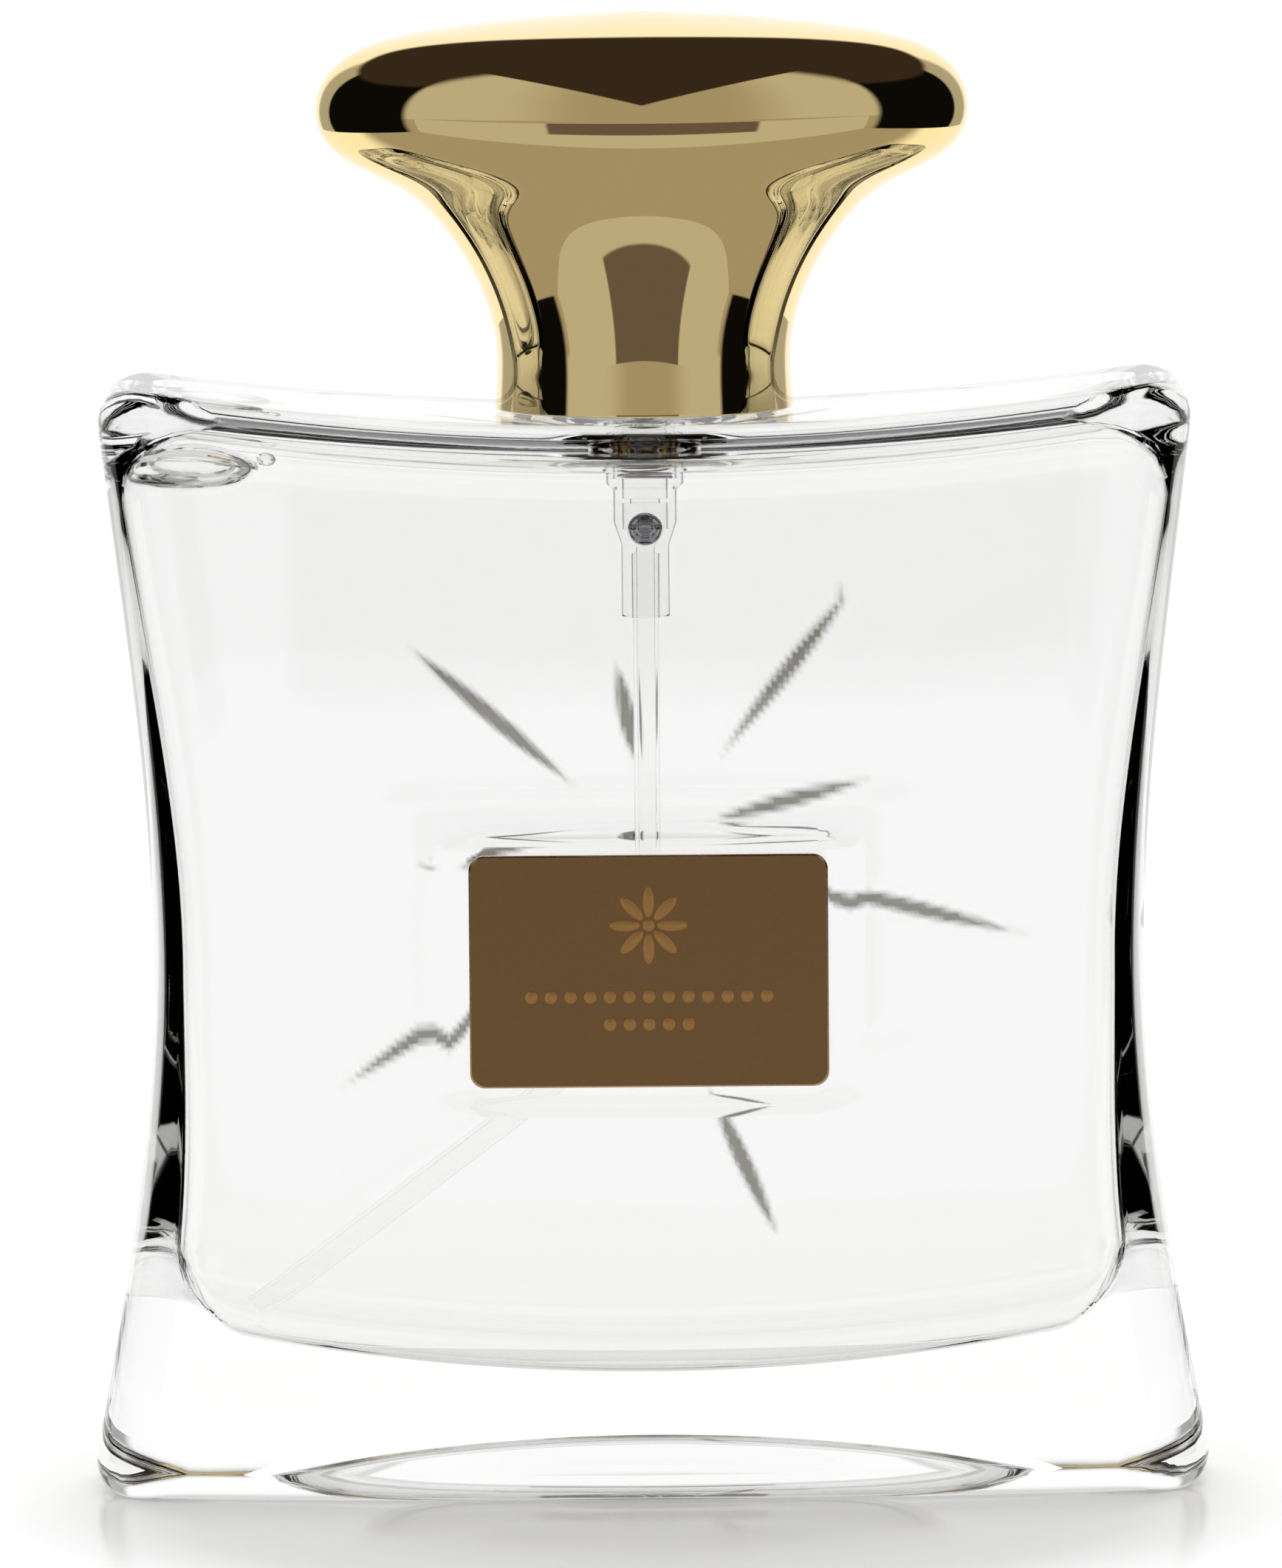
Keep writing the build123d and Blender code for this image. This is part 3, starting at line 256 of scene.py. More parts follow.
floor_mesh.materials.append(floor_finish)


# Two low pale cards stand on the front edge of the table with a dark gap between them. They
# show only in reflections.
LOW_CARD_TOP = 0.096
GAP_BROWN = (0.14, 0.11, 0.114)
card_corners = [
    (-TABLE_HALF_WIDTH, 0.0), (TABLE_HALF_WIDTH, 0.0),
    (TABLE_HALF_WIDTH, LOW_CARD_TOP), (-TABLE_HALF_WIDTH, LOW_CARD_TOP),
]
card_mesh = bpy.data.meshes.new("low_cards")
card_mesh.from_pydata([(x, TABLE_FRONT, z) for x, z in card_corners], [], [(0, 1, 2, 3)])
low_cards = bpy.data.objects.new("low_cards", card_mesh)
bpy.context.scene.collection.objects.link(low_cards)
low_cards.visible_camera = False
low_cards.visible_shadow = False
card_finish = bpy.data.materials.new("pale_card")
card_finish.use_nodes = True
card = card_finish.node_tree
card.nodes.clear()
card_place = card.nodes.new("ShaderNodeNewGeometry")
card_axes = card.nodes.new("ShaderNodeSeparateXYZ")
card.links.new(card_place.outputs["Position"], card_axes.inputs[0])
card_gap = tree_math(
    card, "MULTIPLY", tree_step(card, card_axes.outputs["X"], -0.074, -0.069),
    tree_step(card, card_axes.outputs["X"], 0.094, 0.089),
)
card_gap = tree_math(card, "MULTIPLY", card_gap, tree_step(card, card_axes.outputs["Z"], 0.052, 0.056))
card_light = card.nodes.new("ShaderNodeEmission")
card.links.new(tree_blend(card, card_gap, PALE_CARD, GAP_BROWN), card_light.inputs["Color"])
card_out = card.nodes.new("ShaderNodeOutputMaterial")
card.links.new(card_light.outputs[0], card_out.inputs["Surface"])
card_mesh.materials.append(card_finish)


# ---------------------------------------------------------------------------------- glass bottle
# Pressed flint glass: two crowned faces, hollow sides, a dipped shoulder and a heavy foot
# with a hollow under it. The outside, the neck and the inside are one closed surface. The
# plaque's recess is moulded in the front and eight grooves are ground into the back.
WAIST_HEIGHT = 46.3
SADDLE = 93.6
SADDLE_CURVE = 0.00165
CROWN_RADIUS = 293.8
HALF_DEPTH = 17.0
PLAN_CORNER = 9.5
PLAQUE_CENTRE = 46.4
RECESS_HALF = (16.95, 11.3)
RECESS_CORNER = 2.5
RECESS_LEVEL = 15.7
OUTER_ROUNDS = ((3.4, 2.5), (4.4, 2.5))  # at the sides and at the faces, for foot and shoulder
INNER_ROUNDS = ((7.0, 4.0), (7.0, 4.0))
INNER_HALF_DEPTH = 13.7
INNER_CORNER = 3.4
INNER_SADDLE = 90.6
FLOOR_MIDDLE = 11.0
FLOOR_RISE = 4.2
FLOOR_HALF_WIDTH = 41.0
NECK_ROOT_RADIUS = 7.3
MOUTH_RADIUS = 5.6  # where the neck's bore opens into the inside
GROOVES = (
    ((-20.4, 72.9), (-6.0, 60.1)),
    ((-2.5, 71.2), (-1.0, 62.2)),
    ((17.9, 78.0), (6.2, 62.8)),
    ((19.1, 60.8), (5.0, 57.0)),
    ((32.1, 47.0), (12.0, 52.0)),
    ((-20.1, 53.2), (-8.0, 56.0)),
    ((-26.2, 34.0), (-12.0, 43.6)),
    ((10.9, 20.2), (5.0, 33.8)),
)
GROOVE_DEPTH = 0.89
GROOVE_TAN = 1.07
GROOVE_RUNOUT = 1.14  # the ground trace runs out a little past the cut


def side_curve(height, foot, waist, shoulder, low, high, foot_lean=-0.20, shoulder_lean=0.11):
    """Half width at a height: two cubic curves that meet upright at the waist, with the
    given half width and lean at the low and the high end."""
    down = np.clip((WAIST_HEIGHT - height) / (WAIST_HEIGHT - low), 0, 1.2)
    rise = np.clip((height - WAIST_HEIGHT) / (high - WAIST_HEIGHT), 0, 1.2)
    below = (
        waist + (foot - waist) * (3 * down**2 - 2 * down**3)
        - foot_lean * (WAIST_HEIGHT - low) * (down**3 - down**2)
    )
    over = (
        waist + (shoulder - waist) * (3 * rise**2 - 2 * rise**3)
        + shoulder_lean * (high - WAIST_HEIGHT) * (rise**3 - rise**2)
    )
    return np.where(height < WAIST_HEIGHT, below, over)


def round_the_plan(front, side, back, corner):
    """Where each line of the bottle's grid runs round its plan: which face it is on (0 to 7,
    starting with the front and going anticlockwise) and how far along it."""
    pieces = []
    for face in range(8):
        if face in (0, 4):
            share = front if face == 0 else -back
            pieces.append((np.full(len(share), face), share))
        elif face in (2, 6):
            share = (np.arange(side) + 0.5) / side * 2 - 1
            pieces.append((np.full(side, face), share if face == 2 else -share))
        else:
            share = (np.arange(corner) + 0.5) / corner
            pieces.append((np.full(corner, face), share if face in (1, 5) else 1 - share))
    return np.concatenate([p[0] for p in pieces]), np.concatenate([p[1] for p in pieces])


def plan_point(face, share, half_width, half_depth, corner):
    """x and y of the lines at a given half width: crowned front and back, an arc of the
    corner's radius at each corner, and flat sides."""
    lean = np.arcsin(np.clip((half_width - corner) / CROWN_RADIUS, 0, 1))
    start = half_width - corner * (1 - np.sin(lean))
    crown = lambda x: half_depth - CROWN_RADIUS + np.sqrt(CROWN_RADIUS**2 - x**2)
    middle = crown(start) - corner * np.cos(lean)
    turn = lean + (math.pi / 2 - lean) * share
    arc_x = half_width - corner + corner * np.sin(turn)
    arc_y = middle + corner * np.cos(turn)
    x = np.select([face % 4 == 0, face % 4 == 2], [share * start, half_width], arc_x)
    y = np.select([face % 4 == 0, face % 4 == 2], [crown(share * start), share * middle], arc_y)
    sign_x = np.select([(face == 1) | (face == 2) | (face == 3), (face >= 5)], [1.0, -1.0], 1.0)
    sign_y = np.where((face <= 1) | (face == 7), -1.0, 1.0)
    y = np.where(face % 4 == 2, y, sign_y * y)
    return np.where(face % 4 == 0, x, sign_x * x), y


def corner_share(face, share):
    """0 on the front and back, 1 on the sides, eased round the corners."""
    eased = share**2 * (3 - 2 * share)
    return np.select([face % 4 == 0, face % 4 == 2], [0.0, 1.0], eased)


def plan_angle(face, share):
    """The direction in which each line leaves the axis where the bottle turns round."""
    x, y = plan_point(face, share, 47.0, HALF_DEPTH, 2.6)
    return np.arctan2(y * 3.1, x)


def wall_rows(face, share, heights, curve, half_depth, rounds, top, bottom, corner):
    """Rows up a wall. Each has a share from 0 at the end of the foot's rounding to 1 at the
    start of the shoulder's; a few rows of each rounding are added at both ends."""
    edge = corner_share(face, share)
    low_round = rounds[0][1] + (rounds[0][0] - rounds[0][1]) * edge
    high_round = rounds[1][1] + (rounds[1][0] - rounds[1][1]) * edge
    turns = np.radians([0, 9, 20, 33, 47, 62, 77])
    rows = []
    for turn in turns:
        rows.append(("low", turn))
    for height in heights:
        rows.append(("wall", height))
    for turn in turns[::-1]:
        rows.append(("high", turn))
    xs, ys, zs = [], [], []
    for kind, value in rows:
        x = np.zeros(len(face))
        y = np.zeros(len(face))
        for _ in range(3):
            low_z = bottom(x, y)
            high_z = top(x, y)
            if kind == "low":
                z = low_z + low_round * (1 - math.cos(value))
                inset = 1 - math.sin(value)
                width = curve(z) - rounds[0][0] * inset
                depth = half_depth - rounds[0][1] * inset
            elif kind == "high":
                z = high_z - high_round * (1 - math.cos(value))
                inset = 1 - math.sin(value)
                width = curve(z) - rounds[1][0] * inset
                depth = half_depth - rounds[1][1] * inset
            else:
                z = (low_z + low_round) * (1 - value) + (high_z - high_round) * value
                inset = 0.0
                width = curve(z)
                depth = half_depth
            x, y = plan_point(face, share, width, depth, np.maximum(corner * (1 - 0.85 * inset), 0.3))
        xs.append(x)
        ys.append(y)
        zs.append(z)
    return np.array(xs), np.array(ys), np.array(zs)


def recess_and_grooves(x, y, z, face):
    """Moves the front into the plaque's recess and the back into the ground grooves, and says
    how much of each point is ground. The recess has a flat floor and walls that lean out; a
    groove is a V whose depth falls off as a parabola towards both ends."""
    over_x = np.abs(x) - (RECESS_HALF[0] - RECESS_CORNER)
    over_z = np.abs(z - PLAQUE_CENTRE) - (RECESS_HALF[1] - RECESS_CORNER)
    past_corner = np.hypot(np.maximum(over_x, 0), np.maximum(over_z, 0))
    outside = past_corner + np.minimum(np.maximum(over_x, over_z), 0)
    floor_or_wall = RECESS_LEVEL + np.maximum(outside - RECESS_CORNER, 0) / 0.7
    soft = 0.10
    meet = np.minimum(-y, floor_or_wall) - soft * np.exp(-np.abs(-y - floor_or_wall) / soft) * 0.5
    near_recess = (face == 0) & (outside - RECESS_CORNER < 2.6)
    y = np.where(near_recess, -meet, y)
    ground = np.zeros_like(y)
    for start, end in GROOVES:
        middle, half = (np.array(start) + end) / 2, (np.array(end) - start) / 2 * GROOVE_RUNOUT
        start, end = middle - half, middle + half
        along = end - start
        length = np.hypot(*along)
        along = along / length
        from_start = (x - start[0]) * along[0] + (z - start[1]) * along[1]
        across = (x - start[0]) * along[1] - (z - start[1]) * along[0]
        place = from_start / length * 2 - 1
        depth = GROOVE_DEPTH * (1 - place**2)
        cut = depth - (np.sqrt(across**2 + 0.10**2) - 0.05) / GROOVE_TAN
        rounded = 0.5 * (cut + np.sqrt(cut**2 + 0.02**2)) - 0.002
        y = np.where((face == 4) & (cut > -0.25), y - np.maximum(rounded, 0), y)
        # this share of ground glass also sets the painted shade of the grooves
        ground = np.maximum(ground, np.where(face == 4, np.clip((cut - 0.12) / 0.35, 0, 1), 0))
    return y, ground


def closed_grid(name, x, y, z, ring=False, crease=None):
    """A mesh from rows of points that close on themselves. Its first and last row each close
    on one more point at their middle, or for a ring the last row joins the first. Edges that
    bend by more than crease degrees stay sharp."""
    rows, lines = x.shape
    points = np.stack([x, y, z], axis=-1).reshape(-1, 3)
    row, line = np.meshgrid(np.arange(rows if ring else rows - 1), np.arange(lines), indexing="ij")
    after, above = (line + 1) % lines, (row + 1) % rows
    quads = np.stack(
        [row * lines + line, row * lines + after, above * lines + after, above * lines + line], axis=-1
    )
    faces = quads.reshape(-1, 4).tolist()
    if not ring:
        ends = np.array([points[:lines].mean(0), points[-lines:].mean(0)])
        first, last = len(points), len(points) + 1
        points = np.concatenate([points, ends])
        around = np.arange(lines)
        faces += np.stack([np.roll(around, -1), around, np.full(lines, first)], axis=-1).tolist()
        base = (rows - 1) * lines
        faces += np.stack([base + around, base + np.roll(around, -1), np.full(lines, last)], axis=-1).tolist()
    mesh = bpy.data.meshes.new(name)
    mesh.from_pydata((points * MM).tolist(), [], faces)
    mesh.polygons.foreach_set("use_smooth", np.ones(len(mesh.polygons), bool))
    if crease:
        mesh.set_sharp_from_angle(angle=math.radians(crease))
    mesh.update()
    return mesh


def place(name, mesh, finish, body, slot, *nodes):
    """Puts a finished piece into the scene, on its body, in place of its CAD nodes."""
    piece = bpy.data.objects.new(name, mesh)
    bpy.context.scene.collection.objects.link(piece)
    mesh.materials.append(finish)
    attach(piece, body)
    if nodes:
        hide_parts(*nodes)
    return piece


def spread(dense_from, dense_to, step, low, high, coarse):
    """Shares from low to high: close together over the detailed stretch, wider outside it."""
    dense = np.arange(dense_from, dense_to, step)
    left = np.linspace(low, dense_from, max(2, int((dense_from - low) / coarse) + 1), endpoint=False)
    right = np.linspace(dense_to, high, max(2, int((high - dense_to) / coarse) + 1))
    return np.concatenate([left, dense, right])


outer_curve = lambda z: side_curve(z, 49.2, 43.15, 48.0, 0.0, 97.4)
saddle = lambda x, y: SADDLE + SADDLE_CURVE * x**2
standing = lambda x, y: 0.0 * x
front_lines = spread(-0.42, 0.42, 0.0155, -1, 1, 0.04)
back_lines = spread(-0.78, 0.78, 0.0118, -1, 1, 0.03)
glass_face, glass_share = round_the_plan(front_lines, 14, back_lines, 7)
angle = plan_angle(glass_face, glass_share)
heights = spread(0.175, 0.83, 0.0055, 0, 1, 0.02)
wall_x, wall_y, wall_z = wall_rows(
    glass_face, glass_share, heights, outer_curve, HALF_DEPTH, OUTER_ROUNDS, saddle, standing, PLAN_CORNER
)
wall_y, wall_ground_and_shade = recess_and_grooves(wall_x, wall_y, wall_z, glass_face)
# under the foot: a hollow with steep walls and an arched ceiling, inside a flat rim
PUNT_HALF = (40.0, 11.0)
PUNT_RISE = 5.4
foot_x, foot_y = wall_x[0], wall_y[0]
punt = np.array([
    0.06, 0.2, 0.35, 0.5, 0.65, 0.78, 0.88, 0.94, 0.955, 0.965, 0.975, 0.985, 0.995, 1.0,
])[:, None]
punt_x = PUNT_HALF[0] * np.cos(angle) * punt
punt_y = PUNT_HALF[1] * np.sin(angle) * punt
punt_wall = np.clip((1 - punt) / 0.06, 0, 1) ** 0.7
punt_z = PUNT_RISE * (1 - (punt_x / PUNT_HALF[0]) ** 2) * punt_wall
rim = np.array([0.02, 0.08, 0.3, 0.6, 0.85, 0.97])[:, None]
rim_x = PUNT_HALF[0] * np.cos(angle) * (1 - rim) + foot_x * rim
rim_y = PUNT_HALF[1] * np.sin(angle) * (1 - rim) + foot_y * rim
# over the shoulder to the neck, up to the bead, over the lip and down the bore
top_x, top_y = wall_x[-1], wall_y[-1]
toward = np.array([0.03, 0.12, 0.25, 0.42, 0.6, 0.76, 0.88, 0.96])[:, None]
over_x = top_x * (1 - toward) + NECK_ROOT_RADIUS * np.cos(angle) * toward
over_y = top_y * (1 - toward) + NECK_ROOT_RADIUS * np.sin(angle) * toward
neck = np.array([
    (NECK_ROOT_RADIUS, 93.75), (6.95, 94.0), (6.72, 94.5), (6.62, 95.1), (6.6, 95.8), (6.6, 97.3),
    (6.75, 97.5), (7.2, 97.8), (7.45, 98.1), (7.5, 98.5), (7.5, 100.0), (7.42, 100.35), (7.2, 100.55),
    (6.9, 100.6), (5.4, 100.6), (5.1, 100.5), (4.92, 100.2), (4.9, 99.8), (4.9, 92.0), (4.95, 91.3),
    (5.2, 90.9),
])
neck_x, neck_y = neck[:, :1] * np.cos(angle), neck[:, :1] * np.sin(angle)
neck_z = neck[:, 1:] + 0 * neck_x
# inside: shoulder, walls and a floor that sags to the middle
inner_curve = lambda z: side_curve(z, 41.0, 39.15, 45.0, 15.2, 94.4)
inner_top = lambda x, y: INNER_SADDLE + SADDLE_CURVE * x**2
inner_floor = lambda x, y: FLOOR_MIDDLE + FLOOR_RISE * (x / FLOOR_HALF_WIDTH) ** 2
inner_heights = np.linspace(0, 1, 56)
in_x, in_y, in_z = wall_rows(
    glass_face, glass_share, inner_heights, inner_curve, INNER_HALF_DEPTH, INNER_ROUNDS,
    inner_top, inner_floor, INNER_CORNER,
)
in_x, in_y, in_z = in_x[::-1], in_y[::-1], in_z[::-1]
out = np.array([0.05, 0.15, 0.3, 0.5, 0.7, 0.88, 0.97])[:, None]
ceiling_x = MOUTH_RADIUS * np.cos(angle) * (1 - out) + in_x[0] * out
ceiling_y = MOUTH_RADIUS * np.sin(angle) * (1 - out) + in_y[0] * out
inward = np.array([0.03, 0.12, 0.28, 0.46, 0.64, 0.8, 0.92])[:, None]
floor_x, floor_y = in_x[-1] * (1 - inward), in_y[-1] * (1 - inward)
glass_x = np.concatenate([punt_x, rim_x, wall_x, over_x, neck_x, ceiling_x, in_x, floor_x])
glass_y = np.concatenate([punt_y, rim_y, wall_y, over_y, neck_y, ceiling_y, in_y, floor_y])
glass_z = np.concatenate([
    punt_z, 0 * rim_x, wall_z, saddle(over_x, over_y), neck_z, inner_top(ceiling_x, ceiling_y), in_z,
    inner_floor(floor_x, floor_y),
])
glass_mesh = closed_grid("bottle_glass", glass_x, glass_y, glass_z)
before_wall = (len(punt_x) + len(rim_x)) * len(glass_face)
# the share of ground glass: rough there, and darkened there with a painted shade
glass_ground_and_shade = np.zeros(len(glass_mesh.vertices), np.float32)
glass_ground_and_shade[before_wall:before_wall + wall_ground_and_shade.size] = wall_ground_and_shade.ravel()
glass_mesh.attributes.new("ground", "FLOAT", "POINT").data.foreach_set("value", glass_ground_and_shade)


def clear_finish(name, colour, ior, roughness=0.0, ripple=0.0, ripple_scale=60.0):
    """A clear solid: light goes through it, bent by its refractive index. A ripple is a very
    slight unevenness of the surface, as pressed glass has."""
    finish = bpy.data.materials.new(name)
    finish.use_nodes = True
    nodes, links = finish.node_tree.nodes, finish.node_tree.links
    shader = nodes["Principled BSDF"]
    shader.inputs["Base Color"].default_value = (*colour, 1)
    shader.inputs["Transmission Weight"].default_value = 1.0
    shader.inputs["IOR"].default_value = ior
    shader.inputs["Roughness"].default_value = roughness
    if ripple:
        where = nodes.new("ShaderNodeTexCoord")
        waves = nodes.new("ShaderNodeTexNoise")
        waves.inputs["Scale"].default_value = ripple_scale
        waves.inputs["Detail"].default_value = 1.0
        bump = nodes.new("ShaderNodeBump")
        bump.inputs["Strength"].default_value = ripple
        bump.inputs["Distance"].default_value = 0.0004
        links.new(where.outputs["Object"], waves.inputs["Vector"])
        links.new(waves.outputs["Fac"], bump.inputs["Height"])
        links.new(bump.outputs["Normal"], shader.inputs["Normal"])
    return finish


FLINT_CLEAR = (0.995, 0.998, 0.996)
# the glass colour in the grooves, a painted shade
GROOVE_PAINTED_SHADE = (0.05, 0.05, 0.035)
GROUND_ROUGHNESS = 0.30
flint_glass = clear_finish("flint_glass", FLINT_CLEAR, 1.52, ripple=0.06)
# where the wheel cut it, the glass is left ground and rough, and its colour there is painted near black: a
# painted shade for the dark lines the grooves show against the light
glass_tree = flint_glass.node_tree
glass_shader = glass_tree.nodes["Principled BSDF"]
ground_and_shade_place = glass_tree.nodes.new("ShaderNodeAttribute")
ground_and_shade_place.attribute_name = "ground"
glass_tree.links.new(
    tree_blend(glass_tree, ground_and_shade_place.outputs["Fac"], FLINT_CLEAR, GROOVE_PAINTED_SHADE),
    glass_shader.inputs["Base Color"],
)
glass_tree.links.new(
    tree_math(glass_tree, "MULTIPLY", ground_and_shade_place.outputs["Fac"], GROUND_ROUGHNESS),
    glass_shader.inputs["Roughness"],
)
place("bottle_glass", glass_mesh, flint_glass, "bottle", "flint_glass", "glass_bottle")


# ---------------------------------------------------------------------------------- fragrance
# A clear, almost colourless liquid that fills the bottle up to the shoulder. It wets the
# glass, so its surface laps a hair into it, and one air bubble and a tiny one are left at
# the shoulder. The bubbles' surfaces face inwards, because the air is in them.
WET = 0.05
liquid_lines = np.linspace(-1, 1, 60)
liquid_face, liquid_share = round_the_plan(liquid_lines, 12, liquid_lines, 7)
liquid_curve = lambda z: inner_curve(z) + WET
liquid_top = lambda x, y: inner_top(x, y) + WET
liquid_floor = lambda x, y: inner_floor(x, y) - WET
lx, ly, lz = wall_rows(
    liquid_face, liquid_share, inner_heights, liquid_curve, INNER_HALF_DEPTH + WET, INNER_ROUNDS,
    liquid_top, liquid_floor, INNER_CORNER,
)
settle = np.array([0.1, 0.3, 0.5, 0.7, 0.85, 0.95])[:, None]
low_x, low_y = lx[0] * settle, ly[0] * settle
high_x, high_y = lx[-1] * settle[::-1], ly[-1] * settle[::-1]
liquid_mesh = closed_grid(
    "fragrance_liquid",
    np.concatenate([low_x, lx, high_x]),
    np.concatenate([low_y, ly, high_y]),
    np.concatenate([liquid_floor(low_x, low_y), lz, liquid_top(high_x, high_y)]),
)
fragrance_clear = clear_finish("fragrance_clear", (0.97, 0.97, 0.965), 1.36)
place("fragrance_liquid", liquid_mesh, fragrance_clear, "bottle", "fragrance_liquid", "fragrance")


def bubble(name, centre, radii, tilt, flat):
    """An ellipsoid, turned by tilt about Y and pressed flat at the top, facing inwards."""
    rows, lines = 26, 40
    polar = np.linspace(0.04, math.pi - 0.04, rows)[:, None]
    turn = np.linspace(0, 2 * math.pi, lines, endpoint=False)[None, :]
    x = radii[0] * np.sin(polar) * np.cos(turn)
    y = radii[1] * np.sin(polar) * np.sin(turn)
    z = radii[2] * np.cos(polar) + 0 * turn
    z = np.where(z > 0, z * flat, z)
    return closed_grid(
        name,
        centre[0] + x * math.cos(tilt) - z * math.sin(tilt),
        centre[1] + y,
        centre[2] + x * math.sin(tilt) + z * math.cos(tilt),
    )


air_bubble_mesh = bubble("air_bubble", (-38.3, -1.0, 90.5), (5.4, 7.5, 3.3), -0.08, 0.68)
place("air_bubble", air_bubble_mesh, fragrance_clear, "bottle", "fragrance_liquid")
small_bubble_mesh = bubble("small_bubble", (-32.4, -3.0, 91.1), (0.85, 0.85, 0.85), 0.0, 1.0)
place("small_bubble", small_bubble_mesh, fragrance_clear, "bottle", "fragrance_liquid")


# ---------------------------------------------------------------------------------- plaque
# A thin brass plate, brown-gold and satin, with a bright cut edge. It lies in the recess on
# a clear film of adhesive.
PLAQUE_HALF = (15.55, 10.1)
PLAQUE_CORNER = 1.3
PLAQUE_BACK = 15.85
PLAQUE_FRONT = 16.65
PLAQUE_EDGE = 0.14


def metal_finish(name, colour, other, roughness, grain, bump=0.0, metallic=1.0):
    """A metal surface whose colour and roughness vary a little with a fine grain: colour and
    other are the two ends, roughness a pair, and grain how fine it is."""
    finish = bpy.data.materials.new(name)
    finish.use_nodes = True
    nodes, links = finish.node_tree.nodes, finish.node_tree.links
    shader = nodes["Principled BSDF"]
    shader.inputs["Metallic"].default_value = metallic
    where = nodes.new("ShaderNodeTexCoord")
    noise = nodes.new("ShaderNodeTexNoise")
    noise.inputs["Scale"].default_value = grain
    noise.inputs["Detail"].default_value = 2.0
    tint = nodes.new("ShaderNodeMix")
    tint.data_type = "RGBA"
    tint.inputs[6].default_value = (*colour, 1)
    tint.inputs[7].default_value = (*other, 1)
    polish = nodes.new("ShaderNodeMapRange")
    polish.inputs["To Min"].default_value = roughness[0]
    polish.inputs["To Max"].default_value = roughness[1]
    links.new(where.outputs["Object"], noise.inputs["Vector"])
    links.new(noise.outputs["Fac"], tint.inputs[0])
    links.new(tint.outputs[2], shader.inputs["Base Color"])
    links.new(noise.outputs["Fac"], polish.inputs["Value"])
    links.new(polish.outputs["Result"], shader.inputs["Roughness"])
    if bump:
        relief = nodes.new("ShaderNodeBump")
        relief.inputs["Strength"].default_value = bump
        relief.inputs["Distance"].default_value = 0.00005
        links.new(noise.outputs["Fac"], relief.inputs["Height"])
        links.new(relief.outputs["Normal"], shader.inputs["Normal"])
    return finish


def rounded_outline(half_width, half_height, corner, steps=10):
    """Points round a rectangle with round corners, anticlockwise."""
    turns = np.radians(np.linspace(0, 90, steps))
    x = half_width - corner + corner * np.cos(turns)
    z = half_height - corner + corner * np.sin(turns)
    return np.concatenate([x, -x[::-1], -x, x[::-1]]), np.concatenate([z, z[::-1], -z, -z[::-1]])


def plate(name, half, corner, levels):
    """A flat plate: rounded outlines from its back to its front, each a pair of how far it is
    inset and how far it lies from the middle plane."""
    outlines = [rounded_outline(half[0] - inset, half[1] - inset, corner) for inset, _ in levels]
    x = np.array([outline[0] for outline in outlines])
    z = np.array([outline[1] for outline in outlines]) + PLAQUE_CENTRE
    y = np.array([-level for _, level in levels])[:, None] + 0 * x
    return closed_grid(name, x, y, z, crease=25)


brown_gold = metal_finish(
    "brown_gold_satin", (0.300, 0.168, 0.058), (0.345, 0.198, 0.073), (0.36, 0.46), 2600.0, 0.10,
    metallic=0.40,
)
plaque_mesh = plate("plaque_plate", PLAQUE_HALF, PLAQUE_CORNER, (
    (PLAQUE_EDGE, PLAQUE_BACK), (0.0, PLAQUE_BACK + PLAQUE_EDGE), (0.0, PLAQUE_FRONT - PLAQUE_EDGE),
    (PLAQUE_EDGE, PLAQUE_FRONT), (2 * PLAQUE_EDGE, PLAQUE_FRONT),
))
cut_brass = metal_finish("cut_brass", (0.80, 0.60, 0.38), (0.72, 0.50, 0.30), (0.22, 0.34), 3000.0)
place("plaque_plate", plaque_mesh, brown_gold, "bottle", "bronze_satin", "label_plaque")
plaque_mesh.materials.append(cut_brass)
# the two rings of faces round the rim are bare metal
lines_round = 40
edge_faces = np.zeros(len(plaque_mesh.polygons), np.int32)
edge_faces[lines_round:3 * lines_round] = 1
plaque_mesh.polygons.foreach_set("material_index", edge_faces)


# ---------------------------------------------------------------------------------- plaque relief
# The raised ornament of the plate in a paler gold: a rosette of eight petals round a boss,
# and under it a long and a short row of beads.
ROSETTE_CENTRE = 50.4
RELIEF_HEIGHT = 0.12
RELIEF_SUNK = 0.03
PETALS = 8
PETAL_HALF = (1.35, 0.52)
PETAL_MIDDLE = 2.05  # from the rosette's centre
BOSS_RADIUS = 0.55
BEAD_RADIUS = 0.58
BEAD_PITCH = 1.7
BEAD_ROWS = ((13, 44.2), (5, 41.8))  # beads in the row and its height


def lentils(name, centre_x, centre_z, half_length, half_width, turn, height, sunk):
    """Flattened domes that stand on the plate, one for each entry: ellipses of half_length by
    half_width turned by turn, height high, closed a little below the surface."""
    rows, lines = 7, 20
    polar = np.linspace(0.12, math.pi / 2, rows)[::-1]
    around = np.linspace(0, 2 * math.pi, lines, endpoint=False)
    reach = np.concatenate([[1.0], np.sin(polar)])
    rise = np.concatenate([[-sunk], height * np.cos(polar)])
    meshes = []
    for cx, cz, length, width, lean in zip(centre_x, centre_z, half_length, half_width, turn):
        along = length * reach[:, None] * np.cos(around)
        across = width * reach[:, None] * np.sin(around)
        x = cx + along * math.cos(lean) - across * math.sin(lean)
        z = cz + along * math.sin(lean) + across * math.cos(lean)
        y = -(PLAQUE_FRONT + rise[:, None]) + 0 * x
        meshes.append(closed_grid(name, x, y, z))
    joined = bpy.data.meshes.new(name)
    points, faces, base = [], [], 0
    for mesh in meshes:
        co = np.empty(len(mesh.vertices) * 3)
        mesh.vertices.foreach_get("co", co)
        points.append(co.reshape(-1, 3))
        faces += [[base + v for v in polygon.vertices] for polygon in mesh.polygons]
        base += len(mesh.vertices)
        bpy.data.meshes.remove(mesh)
    joined.from_pydata(np.concatenate(points).tolist(), [], faces)
    joined.polygons.foreach_set("use_smooth", np.ones(len(joined.polygons), bool))
    joined.update()
    return joined


